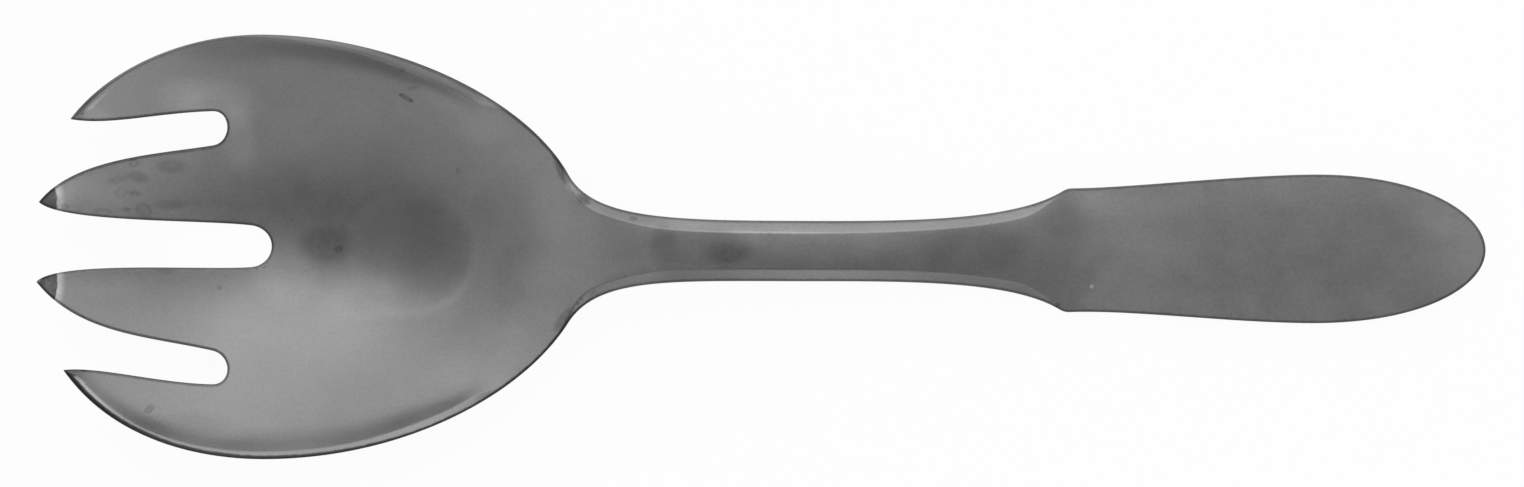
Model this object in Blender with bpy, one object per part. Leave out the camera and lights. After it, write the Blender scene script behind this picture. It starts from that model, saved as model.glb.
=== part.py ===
"""Salad serving fork in satin steel.

One blank, dished at the head, is built as seven zones that meet face to face: a bowl, four tines, a shank
and a handle. Every place along the fork is measured from the bowl's widest line, towards the handle.
The fork lies with its hollow up, on the bowl's belly and on the flat underside of the handle.
"""
import math

import bmesh
import bpy
import numpy as np
from mathutils import Vector
from mathutils.geometry import delaunay_2d_cdt

MM = 0.001

# Lengths along the fork
INNER_TIP_REACH = 32.75 * MM        # points of the inner tines, ahead of the widest line
OUTER_TIP_REACH = 28.1 * MM         # points of the outer tines, ahead of the widest line
TINE_ROOT_REACH = 8.0 * MM          # where the tines leave the bowl
CENTRE_SLOT_REACH = 2.6 * MM        # where the centre slot begins to round
FLOOR_START = 2.0 * MM              # start of the hollow's level floor, behind the widest line
FLOOR_LENGTH = 7.0 * MM
BOWL_BACK_LENGTH = 42.4 * MM        # widest line to the neck
NECK_LENGTH = 10.2 * MM             # neck to the start of the shank
SHANK_FRONT_LENGTH = 25.4 * MM      # start of the shank to its narrowest place
SHANK_BACK_LENGTH = 35.2 * MM       # narrowest place to the shoulders
HANDLE_FRONT_LENGTH = 33.8 * MM     # shoulders to the handle's widest line
HANDLE_END_LENGTH = 25.25 * MM      # handle's widest line to its end
NOSE_LEAD = 2.8 * MM                # the bowl's sweep runs on this far past the inner points

# Widths
BOWL_WIDTH = 60.0 * MM
NECK_WIDTH = 20.9 * MM
SHANK_WIDTH = 8.5 * MM
SHOULDER_WIDTH = 17.7 * MM
HANDLE_WIDTH = 20.9 * MM
CENTRE_SLOT_WIDTH = 6.1 * MM
OUTER_SLOT_WIDTH = 4.9 * MM
OUTER_SLOT_OFFSET = 16.9 * MM       # middle of an outer slot's end, from the axis
INNER_TIP_OFFSET = 5.65 * MM        # point of an inner tine, from the axis
OUTER_TIP_OFFSET = 17.7 * MM        # point of an outer tine, from the axis

# Heights of the upper face along the axis, and of the hollow's flanks at the rim
TIP_HEIGHT = 9.64 * MM
FLANK_TIP_HEIGHT = 13.6 * MM
FLANK_HEIGHT = 11.26 * MM
RAMP_HEIGHT = 5.95 * MM             # where the hollow rises most steeply to the neck
FLANK_RAMP_HEIGHT = 9.8 * MM
HEEL_HEIGHT = 10.28 * MM            # where the hollow has run out into the neck
CREST_FALL = 2.3 * MM               # from the crest to the straight of the shank
SETTLE_FALL = 1.13 * MM             # from the straight of the shank to the level handle
END_LIFT = 1.3 * MM                 # the handle's end turns up by this much
RAMP_BEFORE_NECK = 12.9 * MM
HEEL_BEHIND_NECK = 1.6 * MM
CREST_BEHIND_HEEL = 11.0 * MM
CREST_LENGTH = 20.0 * MM            # crest to the straight of the shank
SETTLE_BEFORE_SHOULDER = 6.0 * MM   # end of the straight
REST_BEHIND_SHOULDER = 8.0 * MM     # start of the level handle, flat underneath
REST_BEHIND_WIDEST = 13.0 * MM      # end of the level handle
TIP_SLOPE = -0.242
FLANK_TIP_SLOPE = -0.1
RAMP_SLOPE = 0.32
HEEL_SLOPE = 0.143
SHANK_SLOPE = -0.161
END_SLOPE = 0.168

# Thickness of the steel
TIP_THICKNESS = 1.3 * MM
BOWL_THICKNESS = 1.5 * MM
HEEL_THICKNESS = 2.6 * MM
SHANK_THICKNESS = 3.6 * MM
SHOULDER_THICKNESS = 2.4 * MM
HANDLE_THICKNESS = 2.2 * MM
END_THICKNESS = 1.9 * MM

# Section of the hollow: a rounded floor, straight flanks and a steep wall under the rim
FLOOR_ROUNDNESS = 0.6
WALL_FOOT = 3.0 * MM                # the wall's foot, in from the rim
WALL_SLOPES = (0.1, 0.25, 0.4, 0.44)  # at the points, the tine roots, the floor's end and the wall's back
WALL_SOFTNESS = 0.92 * MM
WALL_BACK = 22.0 * MM               # the wall begins to fade here, behind the widest line
WALL_FADE = 14.0 * MM

# Edges
RIM_LAND = 0.9 * MM                 # ground land on top of the rim
NECK_CHAMFER = 1.4 * MM
SHANK_CHAMFER = 1.7 * MM
SHOULDER_CHAMFER = 1.45 * MM
SLOT_EDGE = 0.35 * MM
HANDLE_EDGE = 0.3 * MM
EDGE_ROUND = 0.25 * MM
POINT_FALL = 0.2 * MM               # how far each edge falls across its width, towards the outside
RIM_FALL = -0.3 * MM                # the rim's land rises
NECK_FALL = 0.15 * MM
NECK_CHAMFER_FALL = 0.75 * MM
SHANK_FALL = 0.95 * MM
SHOULDER_FALL = 0.8 * MM
SLOT_FALL = 0.1 * MM
HANDLE_FALL = 0.03 * MM
UNDERSIDE_FALL = 0.1 * MM
SHANK_UNDERSIDE_FALL = 0.5 * MM
CHAMFER_CROWN = 0.24 * MM           # fall of the upper face towards the sides, where the chamfers start and stop
SHANK_CROWN = 0.36 * MM
HANDLE_CROWN = 0.18 * MM
RIM_BEFORE_NECK = 4.4 * MM          # end of the rim's land
CHAMFER_RUN_IN = 4.6 * MM           # behind the neck
CHAMFER_BEHIND_HEEL = 14.0 * MM     # full chamfers from here
CHAMFER_RUN_OUT = 8.0 * MM          # before the shoulders
TIP_ROUND = 0.3 * MM
SHOULDER_ROUND = 0.8 * MM
TIP_BEVEL_LENGTH = 2.4 * MM
TIP_BEVEL_SLOPE = 0.5
TIP_BEVEL_SOFTNESS = 0.5 * MM
EDGE_SHARE_OF_ROOM = 0.6            # an edge takes at most this share of the room up to the far side
ROUND_SHARE_OF_EDGE = 0.4           # and its round at most this share of the edge

# Bow of each stretch of the outline, leaving its start and then leaving its end: the handle's share of the
# stretch, and the handle's direction in degrees
BOWS = {
    "inner_tine_inside": (0.185, 175, 0.142, -48),
    "inner_tine_outside": (0.339, 52, 0.324, 190),
    "outer_tine_inside": (0.377, 182, 0.278, -7),
    "bowl_front": (0.290, 60, 0.411, 180),
    "bowl_back": (0.426, 0, 0.221, 120),
    "neck": (0.208, -60, 0.556, 180),
    "shank": (0.417, 0, 0.220, 213),
    "handle": (0.236, -2.5, 0.355, 180),
    "handle_end": (0.556, 0, 0.212, 90),
}
QUARTER_ROUND = 0.55                # handle of a quarter circle, as a share of its radius
HALF_ROUND = 4 / 3                  # handle of a half circle
CENTRE_SLOT_SPLAY = 5               # degrees by which the slots' sides open
OUTER_SLOT_SPLAYS = (10, 2)
NOSE_ARM = 8.85 * MM                # handles of the sweep between the outer points
SWEEP_ARM = 5.9 * MM
SWEEP_DIRECTION = 240

# Spacing of the points
HEAD_STEP = 1.7 * MM
BODY_STEP = 3.2 * MM
CORNER_STEP = 0.3 * MM
FILL_STEP = 3.0 * MM
FILL_CLEARANCE = 0.55               # of the fill step, kept to the edge rows
SWEEP_POINTS = 200
GRADIENT_STEP = 0.1 * MM
SLOT_END_STEPS = 8
HALVINGS = 50                       # steps of a search along a curve
SAME_POINT = 1e-4                   # points of the fill this close, in millimetres, are one
TINY = 1e-9

# Finish of each zone: shade of the steel and roughness
METALLIC = 1.0
FINISHES = {"tine": (0.23, 0.36), "bowl": (0.22, 0.37), "shank": (0.21, 0.35), "handle": (0.22, 0.36)}
SHARP_ANGLE = math.radians(35)

# Places that follow from the lengths
FLOOR_STOP = FLOOR_START + FLOOR_LENGTH
NECK = BOWL_BACK_LENGTH
RAMP = NECK - RAMP_BEFORE_NECK
SHANK_START = NECK + NECK_LENGTH
NARROWEST = SHANK_START + SHANK_FRONT_LENGTH
SHOULDER = NARROWEST + SHANK_BACK_LENGTH
HANDLE_WIDEST = SHOULDER + HANDLE_FRONT_LENGTH
HANDLE_END = HANDLE_WIDEST + HANDLE_END_LENGTH
HEEL = NECK + HEEL_BEHIND_NECK
CREST = HEEL + CREST_BEHIND_HEEL
STRAIGHT_START = CREST + CREST_LENGTH
STRAIGHT_STOP = SHOULDER - SETTLE_BEFORE_SHOULDER
REST_START = SHOULDER + REST_BEHIND_SHOULDER
REST_STOP = HANDLE_WIDEST + REST_BEHIND_WIDEST
CHAMFER_START = HEEL + CHAMFER_BEHIND_HEEL
CHAMFER_STOP = SHOULDER - CHAMFER_RUN_OUT
STRAIGHT_LOW = HANDLE_THICKNESS + SETTLE_FALL
STRAIGHT_HIGH = STRAIGHT_LOW - SHANK_SLOPE * (STRAIGHT_STOP - STRAIGHT_START)

INNER_TIP = (-INNER_TIP_REACH, INNER_TIP_OFFSET)
OUTER_TIP = (-OUTER_TIP_REACH, OUTER_TIP_OFFSET)

# Height, thickness and edge stations: place along the fork, value, slope
BODY_LINE = [
    (HEEL, HEEL_HEIGHT, HEEL_SLOPE),
    (CREST, STRAIGHT_HIGH + CREST_FALL, 0.0),
    (STRAIGHT_START, STRAIGHT_HIGH, SHANK_SLOPE),
    (STRAIGHT_STOP, STRAIGHT_LOW, SHANK_SLOPE),
    (REST_START, HANDLE_THICKNESS, 0.0),
    (REST_STOP, HANDLE_THICKNESS, 0.0),
    (HANDLE_END, END_THICKNESS + END_LIFT, END_SLOPE),
]
KEEL_LINE = [
    (-INNER_TIP_REACH, TIP_HEIGHT, TIP_SLOPE),
    (FLOOR_START, BOWL_THICKNESS, 0.0),
    (FLOOR_STOP, BOWL_THICKNESS, 0.0),
    (RAMP, RAMP_HEIGHT, RAMP_SLOPE),
] + BODY_LINE
FLANK_LINE = [
    (-INNER_TIP_REACH, FLANK_TIP_HEIGHT, FLANK_TIP_SLOPE),
    (FLOOR_STOP, FLANK_HEIGHT, 0.0),
    (RAMP, FLANK_RAMP_HEIGHT, 0.0),
] + BODY_LINE
WALL_LINE = [
    (-OUTER_TIP_REACH, WALL_SLOPES[0], 0.0),
    (-TINE_ROOT_REACH, WALL_SLOPES[1], 0.0),
    (FLOOR_STOP, WALL_SLOPES[2], 0.0),
    (WALL_BACK, WALL_SLOPES[3], 0.0),
    (WALL_BACK + WALL_FADE, 0.0, 0.0),
]
THICKNESS_LINE = [
    (-INNER_TIP_REACH, TIP_THICKNESS, 0.0),
    (-TINE_ROOT_REACH, BOWL_THICKNESS, 0.0),
    (FLOOR_STOP, BOWL_THICKNESS, 0.0),
    (HEEL, HEEL_THICKNESS, 0.0),
    (STRAIGHT_START, SHANK_THICKNESS, 0.0),
    (STRAIGHT_STOP, SHOULDER_THICKNESS, 0.0),
    (REST_START, HANDLE_THICKNESS, 0.0),
    (REST_STOP, HANDLE_THICKNESS, 0.0),
    (HANDLE_END, END_THICKNESS, 0.0),
]
EDGE_WIDTH_LINE = [
    (NECK - RIM_BEFORE_NECK, RIM_LAND, 0.0),
    (NECK + CHAMFER_RUN_IN, NECK_CHAMFER, 0.0),
    (CHAMFER_START, SHANK_CHAMFER, 0.0),
    (STRAIGHT_START, SHANK_CHAMFER, 0.0),
    (CHAMFER_STOP, SHOULDER_CHAMFER, 0.0),
    (SHOULDER, HANDLE_EDGE, 0.0),
]
EDGE_FALL_LINE = [
    (-OUTER_TIP_REACH, POINT_FALL, 0.0),
    (-TINE_ROOT_REACH, RIM_FALL, 0.0),
    (RAMP, RIM_FALL, 0.0),
    (NECK - RIM_BEFORE_NECK, NECK_FALL, 0.0),
    (NECK + CHAMFER_RUN_IN, NECK_CHAMFER_FALL, 0.0),
    (CHAMFER_START, SHANK_FALL, 0.0),
    (CHAMFER_STOP, SHOULDER_FALL, 0.0),
    (SHOULDER, HANDLE_FALL, 0.0),
]
UNDERSIDE_FALL_LINE = [
    (NECK, UNDERSIDE_FALL, 0.0),
    (CHAMFER_START, SHANK_UNDERSIDE_FALL, 0.0),
    (CHAMFER_STOP, SHANK_UNDERSIDE_FALL, 0.0),
    (SHOULDER, UNDERSIDE_FALL, 0.0),
]
CROWN_LINE = [
    (HEEL, 0.0, 0.0),
    (CHAMFER_START, CHAMFER_CROWN, 0.0),
    (STRAIGHT_START, SHANK_CROWN, 0.0),
    (CHAMFER_STOP, CHAMFER_CROWN, 0.0),
    (REST_START, HANDLE_CROWN, 0.0),
]
CROWN_REACH_LINE = [(CHAMFER_STOP, SHANK_WIDTH / 2, 0.0), (REST_START, HANDLE_WIDTH / 2, 0.0)]


def value_along(stations, x):
    """Value at x on a line through the stations, smooth in slope and in bend."""
    places, values, slopes = (np.array(column) for column in zip(*stations))
    piece = np.clip(np.searchsorted(places, x, side="right") - 1, 0, len(places) - 2)
    span = places[piece + 1] - places[piece]
    t = np.clip((x - places[piece]) / span, 0.0, 1.0)
    blend = t**3 * (10 - 15 * t + 6 * t**2)
    leave = t - 6 * t**3 + 8 * t**4 - 3 * t**5
    arrive = -4 * t**3 + 7 * t**4 - 3 * t**5
    ends = values[piece] * (1 - blend) + values[piece + 1] * blend
    return ends + span * (slopes[piece] * leave + slopes[piece + 1] * arrive)


def arm(point, length, degrees):
    """Handle of a curve: a point at the given distance and direction."""
    turn = math.radians(degrees)
    return (point[0] + length * math.cos(turn), point[1] + length * math.sin(turn))


def curve_point(curve, t):
    """Point of a cubic curve, for one parameter or for a column of them."""
    start, leave, arrive, end = (np.array(p) for p in curve)
    s = 1 - t
    return s**3 * start + 3 * s**2 * t * leave + 3 * s * t**2 * arrive + t**3 * end


def parameter_at(curve, x):
    """Parameter where a curve that runs steadily along the fork reaches x."""
    low, high = 0.0, 1.0
    rising = curve[3][0] > curve[0][0]
    for _ in range(HALVINGS):
        middle = (low + high) / 2
        if (curve_point(curve, middle)[0] < x) == rising:
            low = middle
        else:
            high = middle
    return middle


def curve_points(curve, step, start=0.0, stop=1.0):
    """Points along a curve, about a step apart, without the last one."""
    length = np.linalg.norm(curve_point(curve, stop) - curve_point(curve, start))
    count = max(2, math.ceil(length / step))
    return [curve_point(curve, start + (stop - start) * i / count) for i in range(count)]


def bowed(name, start, end):
    """The named stretch of the outline, as a curve from its start to its end."""
    leave, leave_degrees, arrive, arrive_degrees = BOWS[name]
    span = math.dist(start, end)
    return (start, arm(start, leave * span, leave_degrees), arm(end, arrive * span, arrive_degrees), end)


def outline_curves():
    """The half outline, as named curves from the end of the centre slot to the end of the handle."""
    centre_radius = CENTRE_SLOT_WIDTH / 2
    slot_end = (-CENTRE_SLOT_REACH + centre_radius, 0.0)
    slot_side = (-CENTRE_SLOT_REACH, centre_radius)
    quarter = QUARTER_ROUND * centre_radius
    outer_radius = OUTER_SLOT_WIDTH / 2
    inner_root = (-TINE_ROOT_REACH, OUTER_SLOT_OFFSET - outer_radius)
    outer_root = (-TINE_ROOT_REACH, OUTER_SLOT_OFFSET + outer_radius)
    half = HALF_ROUND * outer_radius
    corners = {
        "inner_tine_inside": (slot_side, INNER_TIP),
        "inner_tine_outside": (INNER_TIP, inner_root),
        "outer_tine_inside": (outer_root, OUTER_TIP),
        "bowl_front": (OUTER_TIP, (0.0, BOWL_WIDTH / 2)),
        "bowl_back": ((0.0, BOWL_WIDTH / 2), (NECK, NECK_WIDTH / 2)),
        "neck": ((NECK, NECK_WIDTH / 2), (NARROWEST, SHANK_WIDTH / 2)),
        "shank": ((NARROWEST, SHANK_WIDTH / 2), (SHOULDER, SHOULDER_WIDTH / 2)),
        "handle": ((SHOULDER, SHOULDER_WIDTH / 2), (HANDLE_WIDEST, HANDLE_WIDTH / 2)),
        "handle_end": ((HANDLE_WIDEST, HANDLE_WIDTH / 2), (HANDLE_END, 0.0)),
    }
    curves = {name: bowed(name, *ends) for name, ends in corners.items()}
    curves["centre_slot"] = (
        slot_end, arm(slot_end, quarter, 90), arm(slot_side, quarter, -CENTRE_SLOT_SPLAY), slot_side)
    inner_splay, outer_splay = OUTER_SLOT_SPLAYS
    curves["outer_slot"] = (
        inner_root, arm(inner_root, half, inner_splay), arm(outer_root, half, outer_splay), outer_root)
    return curves


CURVES = outline_curves()


def trim(curve, reach):
    """Share of a curve that its first handle leaves within the reach."""
    return reach / (3 * np.linalg.norm(np.subtract(curve[1], curve[0])))


def rounded(before, corner, after):
    """Points of the small round between two edges, without the last one."""
    before, corner, after = (np.array(p) for p in (before, corner, after))
    curve = (before, (before + 2 * corner) / 3, (after + 2 * corner) / 3, after)
    return curve_points(curve, CORNER_STEP)


def corner_round(first, second, reach):
    """The round where one curve ends and the next begins, and the shares that it takes from them."""
    end_share = 1 - trim(first[::-1], reach)
    start_share = trim(second, reach)
    points = rounded(curve_point(first, end_share), second[0], curve_point(second, start_share))
    return points, end_share, start_share


def half_outline():
    """Points of the half outline, and the places in it where zones begin and end."""
    inner_tip, inner_stop, inner_start = corner_round(
        CURVES["inner_tine_inside"], CURVES["inner_tine_outside"], TIP_ROUND)
    outer_tip, outer_stop, outer_start = corner_round(
        CURVES["outer_tine_inside"], CURVES["bowl_front"], TIP_ROUND)
    shoulder, shank_stop, handle_start = corner_round(CURVES["shank"], CURVES["handle"], SHOULDER_ROUND)
    centre_root = parameter_at(CURVES["inner_tine_inside"], -TINE_ROOT_REACH)
    rim_root = parameter_at(CURVES["bowl_front"], -TINE_ROOT_REACH)
    shank_start = parameter_at(CURVES["neck"], SHANK_START)
    stretches = [
        ("slot_end", "centre_slot", CENTRE_SLOT_WIDTH / SLOT_END_STEPS, 0.0, 1.0),
        ("slot_side", "inner_tine_inside", HEAD_STEP, 0.0, centre_root),
        ("inner_root", "inner_tine_inside", HEAD_STEP, centre_root, inner_stop),
        ("inner_tip", inner_tip, None, None, None),
        ("inner_back", "inner_tine_outside", HEAD_STEP, inner_start, 1.0),
        ("slot", "outer_slot", OUTER_SLOT_WIDTH / SLOT_END_STEPS, 0.0, 1.0),
        ("outer_root", "outer_tine_inside", HEAD_STEP, 0.0, outer_stop),
        ("outer_tip", outer_tip, None, None, None),
        ("outer_back", "bowl_front", HEAD_STEP, outer_start, rim_root),
        ("rim", "bowl_front", HEAD_STEP, rim_root, 1.0),
        ("rim_back", "bowl_back", HEAD_STEP, 0.0, 1.0),
        ("neck", "neck", HEAD_STEP, 0.0, shank_start),
        ("shank", "neck", BODY_STEP, shank_start, 1.0),
        ("shank_back", "shank", BODY_STEP, 0.0, shank_stop),
        ("shoulder", shoulder, None, None, None),
        ("handle", "handle", BODY_STEP, handle_start, 1.0),
        ("handle_end", "handle_end", BODY_STEP, 0.0, 1.0),
    ]
    points, marks = [], {}
    for mark, source, step, start, stop in stretches:
        marks[mark] = len(points)
        points += source if step is None else curve_points(CURVES[source], step, start, stop)
    marks["end"] = len(points)
    points.append(np.array(CURVES["handle_end"][3]))
    return np.array(points), marks


HALF, MARKS = half_outline()
LOOP = np.vstack([HALF, (HALF * (1, -1))[-2:0:-1]])


def place(mark, side):
    """Index in the closed outline of a marked place, on the right side or on the left one."""
    return MARKS[mark] if side > 0 else (len(LOOP) - MARKS[mark]) % len(LOOP)


def bowl_sweep():
    """Half widths of the head's smooth outer sweep, with the gaps between the tines closed."""
    nose = (-INNER_TIP_REACH - NOSE_LEAD, 0.0)
    ahead = (nose, arm(nose, NOSE_ARM, 90), arm(OUTER_TIP, SWEEP_ARM, SWEEP_DIRECTION), OUTER_TIP)
    steps = np.linspace(0.0, 1.0, SWEEP_POINTS)[:, None]
    curves = [ahead, CURVES["bowl_front"], CURVES["bowl_back"], CURVES["neck"]]
    return np.vstack([curve_point(curve, steps) for curve in curves])


SWEEP = bowl_sweep()


def sweep_width(x):
    """Half width of the sweep at x."""
    return np.interp(x, SWEEP[:, 0], SWEEP[:, 1])


def dished(x, y):
    """Upper face of the pressed blank, before its edges are ground."""
    half_width = sweep_width(x)
    across = np.abs(y) / half_width
    flank = np.hypot(across, FLOOR_ROUNDNESS) - FLOOR_ROUNDNESS
    flank = flank / (math.hypot(1.0, FLOOR_ROUNDNESS) - FLOOR_ROUNDNESS)
    flare = (sweep_width(x + GRADIENT_STEP) - sweep_width(x - GRADIENT_STEP)) / (2 * GRADIENT_STEP)
    up_wall = WALL_FOOT - (half_width - np.abs(y)) / np.hypot(1.0, flare)
    wall = value_along(WALL_LINE, x) * (up_wall + np.hypot(up_wall, WALL_SOFTNESS)) / 2
    keel = value_along(KEEL_LINE, x)
    return keel + (value_along(FLANK_LINE, x) - keel) * flank + wall


def top_height(x, y):
    """Upper face, with the crown of the shank and the handle, and the bevels at the points."""
    crown = value_along(CROWN_LINE, x) * (y / value_along(CROWN_REACH_LINE, x)) ** 2
    bevel = 0.0
    for tip in (INNER_TIP, OUTER_TIP):
        past = TIP_BEVEL_LENGTH - np.hypot(x - tip[0], np.abs(y) - tip[1])
        bevel = bevel + TIP_BEVEL_SLOPE * (past + np.hypot(past, TIP_BEVEL_SOFTNESS)) / 2
    return dished(x, y) - crown - bevel


def bottom_height(x, y):
    """Lower face, one thickness of steel below the upper one, measured square to it."""
    along = (dished(x + GRADIENT_STEP, y) - dished(x - GRADIENT_STEP, y)) / (2 * GRADIENT_STEP)
    across = (dished(x, y + GRADIENT_STEP) - dished(x, y - GRADIENT_STEP)) / (2 * GRADIENT_STEP)
    return dished(x, y) - value_along(THICKNESS_LINE, x) * np.sqrt(1 + along**2 + across**2)


def inward():
    """Direction into the steel at each point of the outline."""
    ahead = np.roll(LOOP, -1, axis=0) - np.roll(LOOP, 1, axis=0)
    ahead /= np.linalg.norm(ahead, axis=1)[:, None]
    return np.column_stack([ahead[:, 1], -ahead[:, 0]])


def room(normals):
    """Radius of the largest circle inside the outline that touches it at each point."""
    apart = LOOP[None, :, :] - LOOP[:, None, :]
    depth = np.einsum("ijk,ik->ij", apart, normals)
    squared = np.einsum("ijk,ijk->ij", apart, apart)
    return np.where(depth > TINY, squared / (2 * np.maximum(depth, TINY)), np.inf).min(axis=1)


def edge_rows():
    """Rows of points along the outline, as plan places, upper heights and lower heights."""
    normals = inward()
    on_slot = np.zeros(len(LOOP), bool)
    on_slot[: MARKS["outer_back"]] = True
    on_slot[len(LOOP) - MARKS["outer_back"] + 1:] = True
    x = LOOP[:, 0]
    full = np.where(on_slot, SLOT_EDGE, value_along(EDGE_WIDTH_LINE, x))
    width = np.minimum(full, EDGE_SHARE_OF_ROOM * room(normals))
    share = width / full
    fall = np.where(on_slot, SLOT_FALL, value_along(EDGE_FALL_LINE, x)) * share
    underside_fall = value_along(UNDERSIDE_FALL_LINE, x) * share
    edge_round = np.minimum(EDGE_ROUND, ROUND_SHARE_OF_EDGE * width)
    direction = normals.copy()
    for mark in ("inner_root", "slot", "outer_root", "rim", "shank", "handle"):
        for side in (1, -1):
            at = place(mark, side)
            direction[at] = (0.0, 1 / normals[at, 1])
    distances = [np.zeros(len(LOOP)), edge_round, width]
    drops = [fall + edge_round, fall * (1 - edge_round / width), np.zeros(len(LOOP))]
    lifts = [underside_fall + edge_round, underside_fall * (1 - edge_round / width), np.zeros(len(LOOP))]
    plans = [LOOP + direction * distance[:, None] for distance in distances]
    level = top_height(*plans[-1].T)
    tops = [level - drop for drop in drops]
    bottoms = [bottom_height(*plan.T) + lift for plan, lift in zip(plans, lifts)]
    return plans, tops, bottoms


PLANS, TOPS, BOTTOMS = edge_rows()
LAST = len(PLANS) - 1


def inside(points, polygon):
    """Which points lie within the polygon, clear of its sides."""
    start, end = polygon, np.roll(polygon, -1, axis=0)
    x, y = points[:, 0, None], points[:, 1, None]
    crosses = (start[:, 1] > y) != (end[:, 1] > y)
    rise = np.where(start[:, 1] == end[:, 1], 1.0, end[:, 1] - start[:, 1])
    left = x < start[:, 0] + (y - start[:, 1]) * (end[:, 0] - start[:, 0]) / rise
    within = (crosses & left).sum(axis=1) % 2 == 1
    side = end - start
    offset = points[:, None, :] - start[None, :, :]
    t = np.clip((offset * side).sum(axis=2) / (side**2).sum(axis=1), 0.0, 1.0)
    distance = np.linalg.norm(offset - t[:, :, None] * side, axis=2).min(axis=1)
    return points[within & (distance > FILL_CLEARANCE * FILL_STEP)]


def fill_points(polygon):
    """Evenly spread points within a polygon, in staggered rows about the end of the floor."""
    columns = range(math.floor((polygon[:, 0].min() - FLOOR_STOP) / FILL_STEP),
                    math.ceil((polygon[:, 0].max() - FLOOR_STOP) / FILL_STEP) + 1)
    half_rows = math.ceil(np.abs(polygon[:, 1]).max() / FILL_STEP) + 1
    grid = [(FLOOR_STOP + column * FILL_STEP, (row + 0.5 * (column % 2)) * FILL_STEP)
            for column in columns for row in range(-half_rows, half_rows + 1)]
    return inside(np.array(grid), polygon)


def cut_points(first, second):
    """Points along the flat cut between two outline places, without its ends."""
    low, high = sorted((PLANS[LAST][first], PLANS[LAST][second]), key=lambda p: p[1])
    count = max(1, round((high[1] - low[1]) / FILL_STEP))
    points = [low + (high - low) * i / count for i in range(1, count)]
    return points if PLANS[LAST][first][1] < PLANS[LAST][second][1] else points[::-1]


class Zone:
    """One closed solid between stretches of the outline and the flat cuts that join them."""

    def __init__(self, stretches):
        self.plan, self.top, self.bottom = [], [], []
        self.of_row = {}
        self.faces = []
        self.border, self.inner = [], []
        runs = [self.indices(*stretch) for stretch in stretches]
        for run, following in zip(runs, runs[1:] + runs[:1]):
            self.add_run(run)
            self.add_cut(run[-1], following[0])
        self.add_fill()

    @staticmethod
    def indices(first, last):
        count = (last - first) % len(LOOP)
        return [(first + i) % len(LOOP) for i in range(count + 1)]

    def point(self, plan, top, bottom):
        self.plan.append(plan)
        self.top.append(float(top))
        self.bottom.append(float(bottom))
        return len(self.plan) - 1

    def row_point(self, index, row):
        if (index, row) not in self.of_row:
            self.of_row[index, row] = self.point(PLANS[row][index], TOPS[row][index], BOTTOMS[row][index])
        return self.of_row[index, row]

    def surface_point(self, plan):
        return self.point(plan, top_height(*plan), bottom_height(*plan))

    def add_run(self, run):
        self.border += [self.row_point(i, 0) for i in run]
        self.inner += [self.row_point(i, LAST) for i in run]
        for here, there in zip(run, run[1:]):
            for row in range(LAST):
                corners = ((here, row), (there, row), (there, row + 1), (here, row + 1))
                self.faces.append([self.row_point(*corner) for corner in corners])

    def add_cut(self, first, second):
        between = [self.surface_point(plan) for plan in cut_points(first, second)]
        into = [self.row_point(first, row) for row in range(1, LAST + 1)]
        out = [self.row_point(second, row) for row in range(LAST, 0, -1)]
        self.border += into + between + out
        self.inner += between

    def add_fill(self):
        polygon = np.array([self.plan[i] for i in self.inner])
        free = fill_points(polygon)
        flat = [Vector(p / MM) for p in np.vstack([polygon, free])]
        ring = list(range(len(polygon)))
        result = delaunay_2d_cdt(flat, [], [ring], 1, SAME_POINT)
        vertices = self.inner + [self.surface_point(plan) for plan in free]
        origins = [origin[0] for origin in result[3]]
        self.faces += [[vertices[origins[i]] for i in face] for face in result[2]]

    def mesh(self, name):
        solid = bmesh.new()
        upper = [solid.verts.new((*p, z)) for p, z in zip(self.plan, self.top)]
        lower = [solid.verts.new((*p, z)) for p, z in zip(self.plan, self.bottom)]
        for face in self.faces:
            solid.faces.new([upper[i] for i in face])
            solid.faces.new([lower[i] for i in reversed(face)])
        for a, b in zip(self.border, self.border[1:] + self.border[:1]):
            solid.faces.new((upper[a], upper[b], lower[b], lower[a]))
        bmesh.ops.recalc_face_normals(solid, faces=solid.faces)
        mesh = bpy.data.meshes.new(name)
        solid.to_mesh(mesh)
        solid.free()
        mesh.shade_smooth()
        mesh.set_sharp_from_angle(angle=SHARP_ANGLE)
        return mesh


def zones():
    """Each zone's name, finish, and stretches of the outline in order."""
    right = {mark: place(mark, 1) for mark in MARKS}
    left = {mark: place(mark, -1) for mark in MARKS}
    yield "inner_tine_right", "tine", [(right["inner_root"], right["slot"])]
    yield "inner_tine_left", "tine", [(left["slot"], left["inner_root"])]
    yield "outer_tine_right", "tine", [(right["outer_root"], right["rim"])]
    yield "outer_tine_left", "tine", [(left["rim"], left["outer_root"])]
    yield "bowl", "bowl", [
        (left["inner_root"], right["inner_root"]),
        (right["slot"], right["outer_root"]),
        (right["rim"], right["shank"]),
        (left["shank"], left["rim"]),
        (left["outer_root"], left["slot"]),
    ]
    yield "shank", "shank", [(right["shank"], right["handle"]), (left["handle"], left["shank"])]
    yield "handle", "handle", [(right["handle"], left["handle"])]


def satin_steel(name, shade, roughness):
    """A brushed steel of one shade."""
    material = bpy.data.materials.new(name)
    material.use_nodes = True
    shader = material.node_tree.nodes["Principled BSDF"]
    shader.inputs["Base Color"].default_value = (shade, shade, shade, 1.0)
    shader.inputs["Roughness"].default_value = roughness
    shader.inputs["Metallic"].default_value = METALLIC
    return material


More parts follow.
